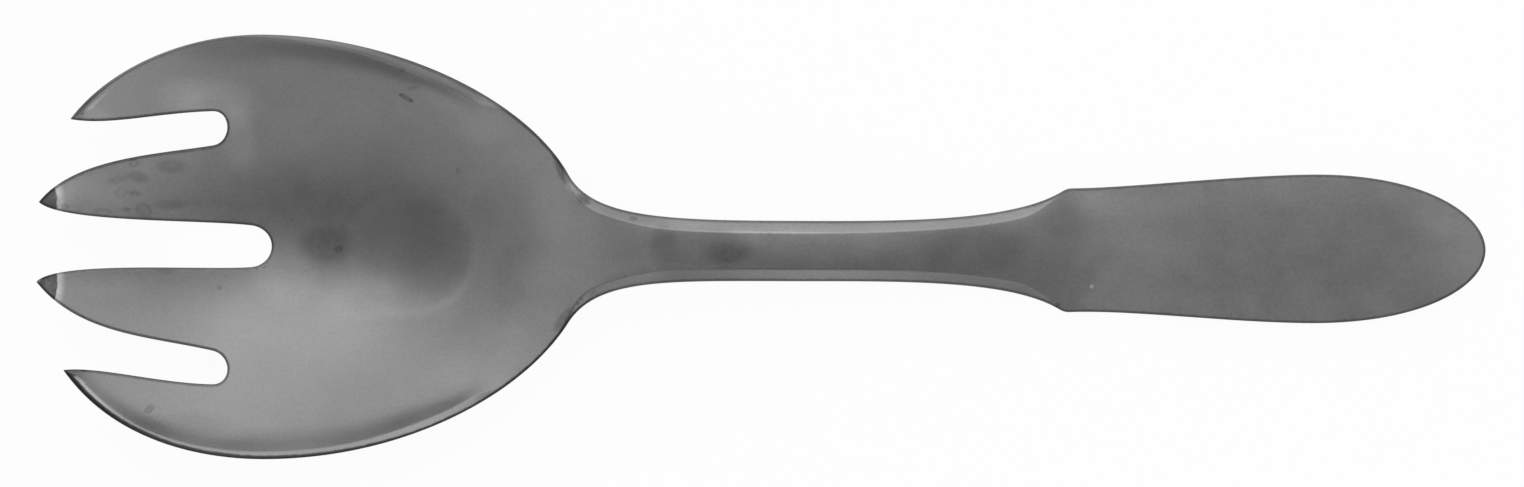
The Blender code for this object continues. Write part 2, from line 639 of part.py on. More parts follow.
def build():
    for thing in list(bpy.data.objects):
        bpy.data.objects.remove(thing)
    fork = bpy.data.objects.new("salad_fork", None)
    bpy.context.collection.objects.link(fork)
    fork.location.x = -(LOOP[:, 0].min() + LOOP[:, 0].max()) / 2
    for name, finish, stretches in zones():
        piece = bpy.data.objects.new(name, Zone(stretches).mesh(name))
        piece.data.materials.append(satin_steel(name + "_steel", *FINISHES[finish]))
        piece.parent = fork
        bpy.context.collection.objects.link(piece)


build()
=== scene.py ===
import math

import bpy
import numpy as np
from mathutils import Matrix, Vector
from mathutils.geometry import delaunay_2d_cdt
from mathutils.kdtree import KDTree


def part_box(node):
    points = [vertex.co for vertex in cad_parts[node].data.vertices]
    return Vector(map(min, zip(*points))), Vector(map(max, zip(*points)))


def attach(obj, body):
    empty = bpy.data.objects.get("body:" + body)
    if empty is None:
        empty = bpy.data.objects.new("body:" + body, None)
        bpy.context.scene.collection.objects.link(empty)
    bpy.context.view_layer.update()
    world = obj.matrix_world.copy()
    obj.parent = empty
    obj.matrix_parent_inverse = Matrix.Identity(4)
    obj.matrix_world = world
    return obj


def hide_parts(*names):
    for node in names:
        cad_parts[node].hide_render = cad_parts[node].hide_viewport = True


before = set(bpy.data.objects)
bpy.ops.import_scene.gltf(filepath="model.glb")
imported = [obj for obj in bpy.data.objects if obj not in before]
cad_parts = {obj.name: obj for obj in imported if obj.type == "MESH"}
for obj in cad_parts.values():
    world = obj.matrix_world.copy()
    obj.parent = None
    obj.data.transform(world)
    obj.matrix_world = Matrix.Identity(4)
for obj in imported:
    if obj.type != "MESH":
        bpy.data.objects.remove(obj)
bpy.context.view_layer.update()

# The salad serving fork as it looks: seven zones of one satin steel blank, finely modelled.
# Every place along the fork is measured from the bowl's widest line, towards the handle, in metres.
MM = 0.001

# Lengths along the fork
INNER_TIP_REACH = 32.75 * MM
OUTER_TIP_REACH = 28.1 * MM
SLOT_END = 0.29 * MM
TINE_ROOT_REACH = 8.0 * MM
CENTRE_SLOT_REACH = 2.6 * MM
NECK = 42.4 * MM
SHANK_START = 52.6 * MM
NARROWEST = 78.0 * MM
SHOULDER = 113.2 * MM
HANDLE_START = 114.2 * MM
HANDLE_WIDEST = 147.0 * MM
HANDLE_END = 172.25 * MM
NOSE_LEAD = 2.8 * MM

# Widths
SHANK_WIDTH = 8.5 * MM
HANDLE_WIDTH = 20.9 * MM

# Places of the upper face's bends
FLOOR_START = 2.0 * MM
FLOOR_STOP = 9.0 * MM
RAMP = 29.5 * MM
HEEL = 44.0 * MM
CREST = 55.0 * MM
STRAIGHT_START = 75.0 * MM
STRAIGHT_STOP = 107.2 * MM
REST_START = 121.2 * MM
REST_STOP = 160.0 * MM
WALL_FRONT = -16.0 * MM
WALL_BACK = 24.0 * MM
GROOVE_END = 31.0 * MM
WALL_END = 36.0 * MM
RIM_STOP = 34.0 * MM
CHAMFER_TIP = 40.5 * MM
CHAMFER_RUN_IN = 47.0 * MM
CHAMFER_START = 58.0 * MM
CHAMFER_STOP = 105.2 * MM

# Heights and slopes of the upper face
HANDLE_TOP = 2.2 * MM
STRAIGHT_LOW = 3.33 * MM
STRAIGHT_HIGH = 8.51 * MM
CREST_TOP = 10.81 * MM
HEEL_TOP = 10.28 * MM
FLOOR_TOP = 1.5 * MM
SHANK_SLOPE = -0.161
BODY_LINE = [
    (HEEL, HEEL_TOP, 0.143),
    (CREST, CREST_TOP, 0.0),
    (STRAIGHT_START, STRAIGHT_HIGH, SHANK_SLOPE),
    (STRAIGHT_STOP, STRAIGHT_LOW, SHANK_SLOPE),
    (REST_START, HANDLE_TOP, 0.0),
    (REST_STOP, HANDLE_TOP, 0.0),
    (HANDLE_END, 3.2 * MM, 0.168),
]
KEEL_LINE = [
    (-INNER_TIP_REACH, 9.64 * MM, -0.242),
    (FLOOR_START, FLOOR_TOP, 0.0),
    (FLOOR_STOP, FLOOR_TOP, 0.0),
    (RAMP, 5.95 * MM, 0.32),
] + BODY_LINE
FLANK_LINE = [
    (-INNER_TIP_REACH, 13.6 * MM, -0.1),
    (FLOOR_STOP, 11.26 * MM, 0.0),
    (RAMP, 9.8 * MM, 0.0),
] + BODY_LINE
THICKNESS_LINE = [
    (-INNER_TIP_REACH, 1.3 * MM, 0.0),
    (-TINE_ROOT_REACH, 1.5 * MM, 0.0),
    (FLOOR_STOP, 1.5 * MM, 0.0),
    (HEEL, 2.6 * MM, 0.0),
    (STRAIGHT_START, 3.6 * MM, 0.0),
    (STRAIGHT_STOP, 2.4 * MM, 0.0),
    (REST_START, HANDLE_TOP, 0.0),
    (REST_STOP, HANDLE_TOP, 0.0),
    (HANDLE_END, 1.9 * MM, 0.0),
]

# Section of the hollow: a rounded floor, straight flanks, and under the rim a steep wall,
# which differs a little from the right side to the left one
FLOOR_ROUNDNESS = 0.6
WALL_SOFTNESS = 0.92 * MM
WALL_FOOT_LINE = [
    (WALL_FRONT, 2.4 * MM, 0.0),
    (FLOOR_START, 3.5 * MM, 0.0),
    (18.0 * MM, 3.2 * MM, 0.0),
    (RAMP, 2.4 * MM, 0.0),
]
RIGHT_WALL_LINE = [
    (WALL_FRONT, 0.0, 0.0),
    (-TINE_ROOT_REACH, 0.1, 0.0),
    (FLOOR_STOP, 0.31, 0.0),
    (WALL_BACK, 0.46, 0.0),
    (GROOVE_END, 0.0, 0.0),
]
LEFT_WALL_LINE = [
    (-OUTER_TIP_REACH, 0.15, 0.0),
    (WALL_FRONT, 0.47, 0.0),
    (-TINE_ROOT_REACH, 0.5, 0.0),
    (FLOOR_STOP, 0.38, 0.0),
    (WALL_BACK, 0.5, 0.0),
    (WALL_END, 0.0, 0.0),
]

# Ground edges: width, fall towards the outside, and the small round at the wall
CHAMFER_WIDTH = [
    (RIM_STOP, 0.4 * MM, 0.0),
    (CHAMFER_TIP, 0.3 * MM, 0.0),
    (CHAMFER_RUN_IN, 1.4 * MM, 0.0),
    (CHAMFER_START, 1.7 * MM, 0.0),
    (STRAIGHT_START, 1.7 * MM, 0.0),
    (CHAMFER_STOP, 1.45 * MM, 0.0),
    (SHOULDER, 0.3 * MM, 0.0),
]
RIGHT_WIDTH_LINE = [
    (-TINE_ROOT_REACH, 0.4 * MM, 0.0),
    (FLOOR_STOP, 0.9 * MM, 0.0),
    (WALL_BACK, 1.55 * MM, 0.0),
    (RAMP, 1.55 * MM, 0.0),
] + CHAMFER_WIDTH
LEFT_WIDTH_LINE = [
    (-OUTER_TIP_REACH, 0.8 * MM, 0.0),
    (FLOOR_STOP, 1.05 * MM, 0.0),
    (WALL_BACK, 1.25 * MM, 0.0),
    (RAMP, 1.25 * MM, 0.0),
] + CHAMFER_WIDTH
CHAMFER_FALL = [
    (WALL_END, 0.0, 0.0),
    (CHAMFER_TIP, 0.0, 0.0),
    (CHAMFER_RUN_IN, 0.75 * MM, 0.0),
    (CHAMFER_START, 0.95 * MM, 0.0),
    (CHAMFER_STOP, 0.8 * MM, 0.0),
    (SHOULDER, 0.03 * MM, 0.0),
]
RIGHT_FALL_LINE = [
    (-TINE_ROOT_REACH, 0.0, 0.0),
    (FLOOR_STOP, 0.07 * MM, 0.0),
    (WALL_BACK, 0.2 * MM, 0.0),
] + CHAMFER_FALL
LEFT_FALL_LINE = [
    (-OUTER_TIP_REACH, 0.2 * MM, 0.0),
    (-TINE_ROOT_REACH, -0.3 * MM, 0.0),
    (FLOOR_STOP, -0.3 * MM, 0.0),
    (WALL_BACK, -0.35 * MM, 0.0),
] + CHAMFER_FALL
UNDERSIDE_FALL_LINE = [
    (NECK, 0.1 * MM, 0.0),
    (CHAMFER_START, 0.5 * MM, 0.0),
    (CHAMFER_STOP, 0.5 * MM, 0.0),
    (SHOULDER, 0.1 * MM, 0.0),
]
CROWN_LINE = [
    (HEEL, 0.0, 0.0),
    (CHAMFER_START, 0.24 * MM, 0.0),
    (STRAIGHT_START, 0.36 * MM, 0.0),
    (CHAMFER_STOP, 0.24 * MM, 0.0),
    (REST_START, 0.18 * MM, 0.0),
]
CROWN_REACH_LINE = [(CHAMFER_STOP, SHANK_WIDTH / 2, 0.0), (REST_START, HANDLE_WIDTH / 2, 0.0)]
SLOT_EDGE = 0.35 * MM
SLOT_FALL = 0.1 * MM
EDGE_ROUND = 0.3 * MM
CREASE_ROUND = 0.15 * MM
EDGE_SHARE_OF_ROOM = 0.6
ROUND_SHARE_OF_EDGE = 0.45
CREASE_SHARE_OF_EDGE = 0.25
TIP_ROUND = 0.15 * MM
SHOULDER_ROUND = 0.8 * MM
TIP_BEVEL_LENGTH = 2.4 * MM
TIP_BEVEL_SLOPE = 0.5
TIP_BEVEL_SOFTNESS = 0.5 * MM

# The fork's right half and left half differ a little: points of the tines, sides of the slots,
# half widths, and the bow of each stretch of the outline. A bow gives, for the stretch's start and then
# for its end, how long the curve's arm is, as a share of the stretch, and its direction in degrees.
RIGHT, LEFT = 1, -1
HALVES = {
    RIGHT: {
        "slot_middle": 0.15 * MM,
        "slot_side": 3.1 * MM,
        "slot_round": 1.15,
        "tine_roots": (14.4 * MM, 19.23 * MM),
        "inner_tip": (-32.42 * MM, 6.31 * MM),
        "outer_tip": (-27.88 * MM, 18.0 * MM),
        "widest": 30.03 * MM,
        "neck_side": 10.4 * MM,
        "narrowest": 3.97 * MM,
        "shoulder": (112.97 * MM, 8.7 * MM),
        "handle_side": 10.74 * MM,
        "end_middle": 0.1 * MM,
        "inner_tine_inside": (0.234, 173.5, 0.141, -44.6),
        "inner_tine_outside": (0.310, 50.8, 0.342, 189.0),
        "outer_tine_inside": (0.407, 182.0, 0.276, -9.8),
        "bowl_front": (0.261, 54.0, 0.420, 178.9),
        "bowl_back": (0.406, -1.1, 0.252, 119.3),
        "neck": (0.207, -60.7, 0.562, 180.0),
        "shank": (0.416, 0.0, 0.213, 215.2),
        "handle": (0.240, -0.1, 0.359, 181.3),
        "handle_end": (0.609, 1.3, 0.183, 90.0),
    },
    LEFT: {
        "slot_middle": -0.15 * MM,
        "slot_side": 2.81 * MM,
        "slot_round": 1.24,
        "tine_roots": (14.64 * MM, 19.4 * MM),
        "inner_tip": (-32.75 * MM, 4.97 * MM),
        "outer_tip": (-28.75 * MM, 17.39 * MM),
        "widest": 29.91 * MM,
        "neck_side": 10.58 * MM,
        "narrowest": 4.58 * MM,
        "shoulder": (112.6 * MM, 8.88 * MM),
        "handle_side": 10.31 * MM,
        "end_middle": -0.1 * MM,
        "inner_tine_inside": (0.218, 175.5, 0.138, -48.3),
        "inner_tine_outside": (0.363, 50.7, 0.354, 192.5),
        "outer_tine_inside": (0.353, 181.1, 0.224, -6.9),
        "bowl_front": (0.308, 56.1, 0.406, 179.4),
        "bowl_back": (0.417, -0.6, 0.260, 122.4),
        "neck": (0.222, -57.6, 0.574, 179.8),
        "shank": (0.437, -0.2, 0.213, 214.1),
        "handle": (0.263, -3.0, 0.354, 180.5),
        "handle_end": (0.600, 0.5, 0.189, 90.0),
    },
}
QUARTER_ROUND = 0.55
NOSE_ARM = 8.85 * MM
SWEEP_ARM = 5.9 * MM
SWEEP_DIRECTION = 240

# Spacing of the points
OUTLINE_STEP = 0.4 * MM
CORNER_STEP = 0.07 * MM
FILL_STEP = 0.7 * MM
FILL_CLEARANCE = 0.6
ROUND_STEPS = 4
CUT_RUN = 4
CUT_FACING = 0.8
SWEEP_POINTS = 400
LENGTH_SAMPLES = 50
GRADIENT_STEP = 0.05 * MM
HALVINGS = 50
SAME_POINT = 1e-4
TINY = 1e-9


def value_along(stations, x):
    """Value at x on a line through the stations, smooth in slope and in bend."""
    places, values, slopes = (np.array(column) for column in zip(*stations))
    piece = np.clip(np.searchsorted(places, x, side="right") - 1, 0, len(places) - 2)
    span = places[piece + 1] - places[piece]
    t = np.clip((x - places[piece]) / span, 0.0, 1.0)
    blend = t**3 * (10 - 15 * t + 6 * t**2)
    leave = t - 6 * t**3 + 8 * t**4 - 3 * t**5
    arrive = -4 * t**3 + 7 * t**4 - 3 * t**5
    ends = values[piece] * (1 - blend) + values[piece + 1] * blend
    return ends + span * (slopes[piece] * leave + slopes[piece + 1] * arrive)


def sided(right, left, x, y):
    """Value at x on the right line where y is above zero, and on the left line elsewhere."""
    return np.where(y > 0, value_along(right, x), value_along(left, x))


def arm(point, length, degrees):
    """Handle of a curve: a point at the given distance and direction."""
    turn = math.radians(degrees)
    return (point[0] + length * math.cos(turn), point[1] + length * math.sin(turn))


def curve_point(curve, t):
    """Point of a cubic curve, for one parameter or for a column of them."""
    start, leave, arrive, end = (np.array(p) for p in curve)
    s = 1 - t
    return s**3 * start + 3 * s**2 * t * leave + 3 * s * t**2 * arrive + t**3 * end


def parameter_at(curve, x):
    """Parameter where a curve that runs steadily along the fork reaches x."""
    low, high = 0.0, 1.0
    rising = curve[3][0] > curve[0][0]
    for _ in range(HALVINGS):
        middle = (low + high) / 2
        if (curve_point(curve, middle)[0] < x) == rising:
            low = middle
        else:
            high = middle
    return middle


def curve_points(curve, step, start=0.0, stop=1.0):
    """Points along a curve, about a step apart, without the last one."""
    steps = np.linspace(start, stop, LENGTH_SAMPLES)[:, None]
    length = np.linalg.norm(np.diff(curve_point(curve, steps), axis=0), axis=1).sum()
    count = max(2, math.ceil(length / step))
    return [curve_point(curve, start + (stop - start) * i / count) for i in range(count)]


def bowed(bow, start, end):
    """A stretch of the outline, as a curve from its start to its end."""
    leave, leave_degrees, arrive, arrive_degrees = bow
    span = math.dist(start, end)
    return (start, arm(start, leave * span, leave_degrees), arm(end, arrive * span, arrive_degrees), end)


def outline_curves(half):
    """A half outline, as named curves from the end of the centre slot to the end of the handle."""
    slot_end = (SLOT_END, half["slot_middle"])
    slot_side = (-CENTRE_SLOT_REACH, half["slot_side"])
    inner_root, outer_root = ((-TINE_ROOT_REACH, root) for root in half["tine_roots"])
    widest = (0.0, half["widest"])
    neck = (NECK, half["neck_side"])
    narrowest = (NARROWEST, half["narrowest"])
    handle_widest = (HANDLE_WIDEST, half["handle_side"])
    stretches = {
        "inner_tine_inside": (slot_side, half["inner_tip"]),
        "inner_tine_outside": (half["inner_tip"], inner_root),
        "outer_tine_inside": (outer_root, half["outer_tip"]),
        "bowl_front": (half["outer_tip"], widest),
        "bowl_back": (widest, neck),
        "neck": (neck, narrowest),
        "shank": (narrowest, half["shoulder"]),
        "handle": (half["shoulder"], handle_widest),
        "handle_end": (handle_widest, (HANDLE_END, half["end_middle"])),
    }
    curves = {name: bowed(half[name], *ends) for name, ends in stretches.items()}
    along, across = SLOT_END + CENTRE_SLOT_REACH, half["slot_side"] - half["slot_middle"]
    curves["centre_slot"] = (
        slot_end,
        arm(slot_end, QUARTER_ROUND * across, 90),
        arm(slot_side, QUARTER_ROUND * along, half["inner_tine_inside"][1] - 180),
        slot_side,
    )
    reach = half["slot_round"] * (outer_root[1] - inner_root[1]) / 2
    curves["outer_slot"] = (
        inner_root,
        arm(inner_root, reach, half["inner_tine_outside"][3] - 180),
        arm(outer_root, reach, half["outer_tine_inside"][1] - 180),
        outer_root,
    )
    return curves


CURVES = {side: outline_curves(half) for side, half in HALVES.items()}


def trim(curve, reach):
    """Share of a curve that its first handle leaves within the reach."""
    return reach / (3 * np.linalg.norm(np.subtract(curve[1], curve[0])))


def corner_round(first, second, reach):
    """The round where one curve ends and the next begins, and the shares that it takes from them."""
    end_share = 1 - trim(first[::-1], reach)
    start_share = trim(second, reach)
    before = curve_point(first, end_share)
    corner = np.array(second[0])
    after = curve_point(second, start_share)
    curve = (before, (before + 2 * corner) / 3, (after + 2 * corner) / 3, after)
    return curve_points(curve, CORNER_STEP), end_share, start_share


def half_outline(curves):
    """Points of a half outline, and the places in it where zones begin and end."""
    inner_tip, inner_stop, inner_start = corner_round(
        curves["inner_tine_inside"], curves["inner_tine_outside"], TIP_ROUND)
    outer_tip, outer_stop, outer_start = corner_round(
        curves["outer_tine_inside"], curves["bowl_front"], TIP_ROUND)
    shoulder, shank_stop, shoulder_stop = corner_round(curves["shank"], curves["handle"], SHOULDER_ROUND)
    centre_root = parameter_at(curves["inner_tine_inside"], -TINE_ROOT_REACH)
    rim_root = parameter_at(curves["bowl_front"], -TINE_ROOT_REACH)
    shank_start = parameter_at(curves["neck"], SHANK_START)
    handle_start = parameter_at(curves["handle"], HANDLE_START)
    stretches = [
        ("slot_end", "centre_slot", 0.0, 1.0),
        ("slot_side", "inner_tine_inside", 0.0, centre_root),
        ("inner_root", "inner_tine_inside", centre_root, inner_stop),
        ("inner_tip", inner_tip, None, None),
        ("inner_back", "inner_tine_outside", inner_start, 1.0),
        ("slot", "outer_slot", 0.0, 1.0),
        ("outer_root", "outer_tine_inside", 0.0, outer_stop),
        ("outer_tip", outer_tip, None, None),
        ("outer_back", "bowl_front", outer_start, rim_root),
        ("rim", "bowl_front", rim_root, 1.0),
        ("rim_back", "bowl_back", 0.0, 1.0),
        ("neck", "neck", 0.0, shank_start),
        ("shank", "neck", shank_start, 1.0),
        ("shank_back", "shank", 0.0, shank_stop),
        ("shoulder", shoulder, None, None),
        ("shoulder_side", "handle", shoulder_stop, handle_start),
        ("handle", "handle", handle_start, 1.0),
        ("handle_end", "handle_end", 0.0, 1.0),
    ]
    points, marks = [], {}
    for mark, source, start, stop in stretches:
        marks[mark] = len(points)
        points += source if start is None else curve_points(curves[source], OUTLINE_STEP, start, stop)
    marks["end"] = len(points)
    points.append(np.array(curves["handle_end"][3]))
    return np.array(points), marks


RIGHT_HALF, RIGHT_MARKS = half_outline(CURVES[RIGHT])
LEFT_HALF, LEFT_MARKS = half_outline(CURVES[LEFT])
LOOP = np.vstack([RIGHT_HALF, (LEFT_HALF * (1, -1))[-2:0:-1]])


def loop_index(mark, side):
    """Index in the closed outline of a marked place, on the right side or on the left one."""
    return RIGHT_MARKS[mark] if side == RIGHT else (len(LOOP) - LEFT_MARKS[mark]) % len(LOOP)


def bowl_sweep(curves):
    """Points of the head's smooth outer sweep on one side, with the gaps between the tines closed."""
    nose = (-INNER_TIP_REACH - NOSE_LEAD, 0.0)
    outer_tip = curves["bowl_front"][0]
    ahead = (nose, arm(nose, NOSE_ARM, 90), arm(outer_tip, SWEEP_ARM, SWEEP_DIRECTION), outer_tip)
    steps = np.linspace(0.0, 1.0, SWEEP_POINTS)[:, None]
    sweep = [ahead, curves["bowl_front"], curves["bowl_back"], curves["neck"]]
    return np.vstack([curve_point(curve, steps) for curve in sweep])


SWEEPS = {side: bowl_sweep(curves) for side, curves in CURVES.items()}


def sweep_width(x, y):
    """Half width at x of the sweep on the side of y."""
    right, left = (np.interp(x, SWEEPS[side][:, 0], SWEEPS[side][:, 1]) for side in (RIGHT, LEFT))
    return np.where(y > 0, right, left)


def dished(x, y):
    """Upper face of the pressed blank, before its edges are ground."""
    half_width = sweep_width(x, y)
    across = np.abs(y) / half_width
    flank = np.hypot(across, FLOOR_ROUNDNESS) - FLOOR_ROUNDNESS
    flank = flank / (math.hypot(1.0, FLOOR_ROUNDNESS) - FLOOR_ROUNDNESS)
    flare = (sweep_width(x + GRADIENT_STEP, y) - sweep_width(x - GRADIENT_STEP, y)) / (2 * GRADIENT_STEP)
    up_wall = value_along(WALL_FOOT_LINE, x) - (half_width - np.abs(y)) / np.hypot(1.0, flare)
    steepness = sided(RIGHT_WALL_LINE, LEFT_WALL_LINE, x, y)
    wall = steepness * (up_wall + np.hypot(up_wall, WALL_SOFTNESS)) / 2
    keel = value_along(KEEL_LINE, x)
    return keel + (value_along(FLANK_LINE, x) - keel) * flank + wall


def top_height(x, y):
    """Upper face, with the crown of the shank and the handle, and the bevels at the inner points."""
    crown = value_along(CROWN_LINE, x) * (y / value_along(CROWN_REACH_LINE, x)) ** 2
    bevel = 0.0
    for side, half in HALVES.items():
        tip = half["inner_tip"]
        past = TIP_BEVEL_LENGTH - np.hypot(x - tip[0], y - side * tip[1])
        bevel = bevel + TIP_BEVEL_SLOPE * (past + np.hypot(past, TIP_BEVEL_SOFTNESS)) / 2
    return dished(x, y) - crown - bevel


def bottom_height(x, y):
    """Lower face, one thickness of steel below the upper one, measured square to it."""
    along = (dished(x + GRADIENT_STEP, y) - dished(x - GRADIENT_STEP, y)) / (2 * GRADIENT_STEP)
    across = (dished(x, y + GRADIENT_STEP) - dished(x, y - GRADIENT_STEP)) / (2 * GRADIENT_STEP)
    return dished(x, y) - value_along(THICKNESS_LINE, x) * np.sqrt(1 + along**2 + across**2)


def inward():
    """Direction into the steel at each point of the outline."""
    ahead = np.roll(LOOP, -1, axis=0) - np.roll(LOOP, 1, axis=0)
    ahead /= np.linalg.norm(ahead, axis=1)[:, None]
    return np.column_stack([ahead[:, 1], -ahead[:, 0]])


def room(normals):
    """Radius of the largest circle inside the outline that touches it at each point."""
    apart = LOOP[None, :, :] - LOOP[:, None, :]
    depth = np.einsum("ijk,ik->ij", apart, normals)
    squared = np.einsum("ijk,ijk->ij", apart, apart)
    return np.where(depth > TINY, squared / (2 * np.maximum(depth, TINY)), np.inf).min(axis=1)


ON_RIM = np.ones(len(LOOP))
ON_RIM[: loop_index("outer_back", RIGHT)] = 0.0
ON_RIM[loop_index("outer_back", LEFT) + 1:] = 0.0


def edge_rows():
    """Rows of points along the outline, from its wall inwards: plan places, heights, and how far
    each point lies inside the outline and inside the crease of the ground edge."""
    normals = inward()
    space = room(normals)
    x, y = LOOP.T
    full = np.where(ON_RIM > 0, sided(RIGHT_WIDTH_LINE, LEFT_WIDTH_LINE, x, y), SLOT_EDGE)
    width = np.minimum(full, EDGE_SHARE_OF_ROOM * space)
    fall = np.where(ON_RIM > 0, sided(RIGHT_FALL_LINE, LEFT_FALL_LINE, x, y), SLOT_FALL) * width / full
    underside_fall = value_along(UNDERSIDE_FALL_LINE, x) * width / full
    curl = np.minimum(EDGE_ROUND, ROUND_SHARE_OF_EDGE * width)
    crease = np.minimum(CREASE_ROUND, CREASE_SHARE_OF_EDGE * width)
    direction = normals.copy()
    for mark in ("inner_root", "slot", "outer_root", "rim", "shank", "handle"):
        for side in (RIGHT, LEFT):
            for offset in range(-CUT_RUN, CUT_RUN + 1):
                at = (loop_index(mark, side) + offset) % len(LOOP)
                share = 1 - abs(offset) / (CUT_RUN + 1)
                if abs(normals[at, 1]) > CUT_FACING:
                    square = np.array([0.0, 1 / normals[at, 1]])
                    direction[at] = share * square + (1 - share) * normals[at]
    turns = np.linspace(0.0, math.pi / 2, ROUND_STEPS + 1)
    insets = [curl * (1 - math.cos(turn)) for turn in turns]
    curls = [curl * (1 - math.sin(turn)) for turn in turns]
    land = [(curl + width - crease) / 2, width - crease, width, width + crease]
    insets += land
    curls += [np.zeros_like(width)] * len(land)
    plans = [LOOP + direction * inset[:, None] for inset in insets]
    level = top_height(*plans[-2].T)
    tops, bottoms = [], []
    for plan, inset, drop in zip(plans, insets, curls):
        left = np.maximum(1 - inset / width, 0.0)
        ground = np.where(inset < width, level - fall * left, top_height(*plan.T))
        tops.append(ground - drop)
        bottoms.append(bottom_height(*plan.T) + underside_fall * left + drop)
    for rows in (tops, bottoms):
        rows[-2] = rows[-2] / 2 + (rows[-3] + rows[-1]) / 4
    return plans, tops, bottoms, insets, [inset - width for inset in insets]


PLANS, TOPS, BOTTOMS, INSETS, CREASES = edge_rows()
LAST = len(PLANS) - 1


def search_tree(points):
    """Tree that finds the nearest of some plan points."""
    tree = KDTree(len(points))
    for index, point in enumerate(points):
        tree.insert((*point, 0.0), index)
    tree.balance()
    return tree


def fill_points(polygon):
    """Evenly spread points within a polygon, in staggered rows, clear of its sides."""
    near = search_tree(polygon)
    ahead = np.roll(polygon, -1, axis=0)
    points = []
    first_column = math.floor(polygon[:, 0].min() / FILL_STEP)
    last_column = math.ceil(polygon[:, 0].max() / FILL_STEP)
    for column in range(first_column, last_column + 1):
        x = column * FILL_STEP
        crossed = (polygon[:, 0] > x) != (ahead[:, 0] > x)
        share = (x - polygon[crossed, 0]) / (ahead[crossed, 0] - polygon[crossed, 0])
        crossings = np.sort(polygon[crossed, 1] + share * (ahead[crossed, 1] - polygon[crossed, 1]))
        offset = 0.5 * (column % 2)
        for low, high in zip(crossings[::2], crossings[1::2]):
            first_row = math.ceil(low / FILL_STEP - offset)
            last_row = math.floor(high / FILL_STEP - offset)
            for row in range(first_row, last_row + 1):
                point = (x, (row + offset) * FILL_STEP)
                if near.find((*point, 0.0))[2] > FILL_CLEARANCE * FILL_STEP:
                    points.append(point)
    return np.array(points)


def cut_points(first, second):
    """Points along the flat cut between two outline places, without its ends."""
    low, high = sorted((PLANS[LAST][first], PLANS[LAST][second]), key=lambda p: p[1])
    count = max(1, round((high[1] - low[1]) / FILL_STEP))
    points = [low + (high - low) * i / count for i in range(1, count)]
    return points if PLANS[LAST][first][1] < PLANS[LAST][second][1] else points[::-1]


OUTLINE_TREE = search_tree(LOOP)


class Zone:
    """One closed piece between stretches of the outline and the flat cuts that join them."""

    def __init__(self, stretches):
        self.plan, self.top, self.bottom = [], [], []
        self.measures = {"inset": [], "crease": [], "rim": []}
        self.of_row = {}
        self.faces, self.walls, self.cuts = [], [], []
        self.inner = []
        runs = [self.indices(*stretch) for stretch in stretches]
        for run, following in zip(runs, runs[1:] + runs[:1]):
            self.add_run(run)
            self.add_cut(run[-1], following[0])
        self.add_fill()

    @staticmethod
    def indices(first, last):
        count = (last - first) % len(LOOP)
        return [(first + i) % len(LOOP) for i in range(count + 1)]

    def point(self, plan, top, bottom, *measured):
        self.plan.append(plan)
        self.top.append(float(top))
        self.bottom.append(float(bottom))
        for values, value in zip(self.measures.values(), measured):
            values.append(float(value))
        return len(self.plan) - 1

    def row_point(self, index, row):
        if (index, row) not in self.of_row:
            rows = (PLANS, TOPS, BOTTOMS, INSETS, CREASES)
            self.of_row[index, row] = self.point(*(values[row][index] for values in rows), ON_RIM[index])
        return self.of_row[index, row]

    def surface_points(self, plans):
        plans = np.array(plans).reshape(-1, 2)
        tops, bottoms = top_height(*plans.T), bottom_height(*plans.T)
        nearest = [OUTLINE_TREE.find((*plan, 0.0)) for plan in plans]
        insets = np.array([distance for _, _, distance in nearest])
        creases = insets - sided(RIGHT_WIDTH_LINE, LEFT_WIDTH_LINE, *plans.T)
        rims = [ON_RIM[index] for _, index, _ in nearest]
        return [self.point(*values) for values in zip(plans, tops, bottoms, insets, creases, rims)]

    def add_run(self, run):
        self.inner += [self.row_point(i, LAST) for i in run]
        for here, there in zip(run, run[1:]):
            self.walls.append((self.row_point(here, 0), self.row_point(there, 0)))
            for row in range(LAST):
                corners = ((here, row), (here, row + 1), (there, row + 1), (there, row))
                self.faces.append([self.row_point(*corner) for corner in corners])

    def add_cut(self, first, second):
        between = self.surface_points(cut_points(first, second))
        into = [self.row_point(first, row) for row in range(LAST + 1)]
        out = [self.row_point(second, row) for row in range(LAST, -1, -1)]
        if first != second:
            line = into + between + out
            self.cuts += list(zip(line, line[1:]))
        self.inner += between

    def add_fill(self):
        polygon = np.array([self.plan[i] for i in self.inner])
        free = fill_points(polygon)
        flat = [Vector(p / MM) for p in np.vstack([polygon, free])]
        ring = list(range(len(polygon)))
        result = delaunay_2d_cdt(flat, [], [ring], 1, SAME_POINT)
        vertices = self.inner + self.surface_points(free)
        origins = [origin[0] for origin in result[3]]
        self.faces += [[vertices[origins[i]] for i in face] for face in result[2]]

    def solid(self):
        """Points of both faces of the steel, its outer skin, and the flats of its cuts."""
        count = len(self.plan)
        upper = np.column_stack([self.plan, self.top])
        lower = np.column_stack([self.plan, self.bottom])
        skin = [tuple(face) for face in self.faces]
        skin += [tuple(i + count for i in reversed(face)) for face in self.faces]
        skin += [(a, b, b + count, a + count) for a, b in self.walls]
        flats = [(a, b, b + count, a + count) for a, b in self.cuts]
        return np.vstack([upper, lower]), skin, flats


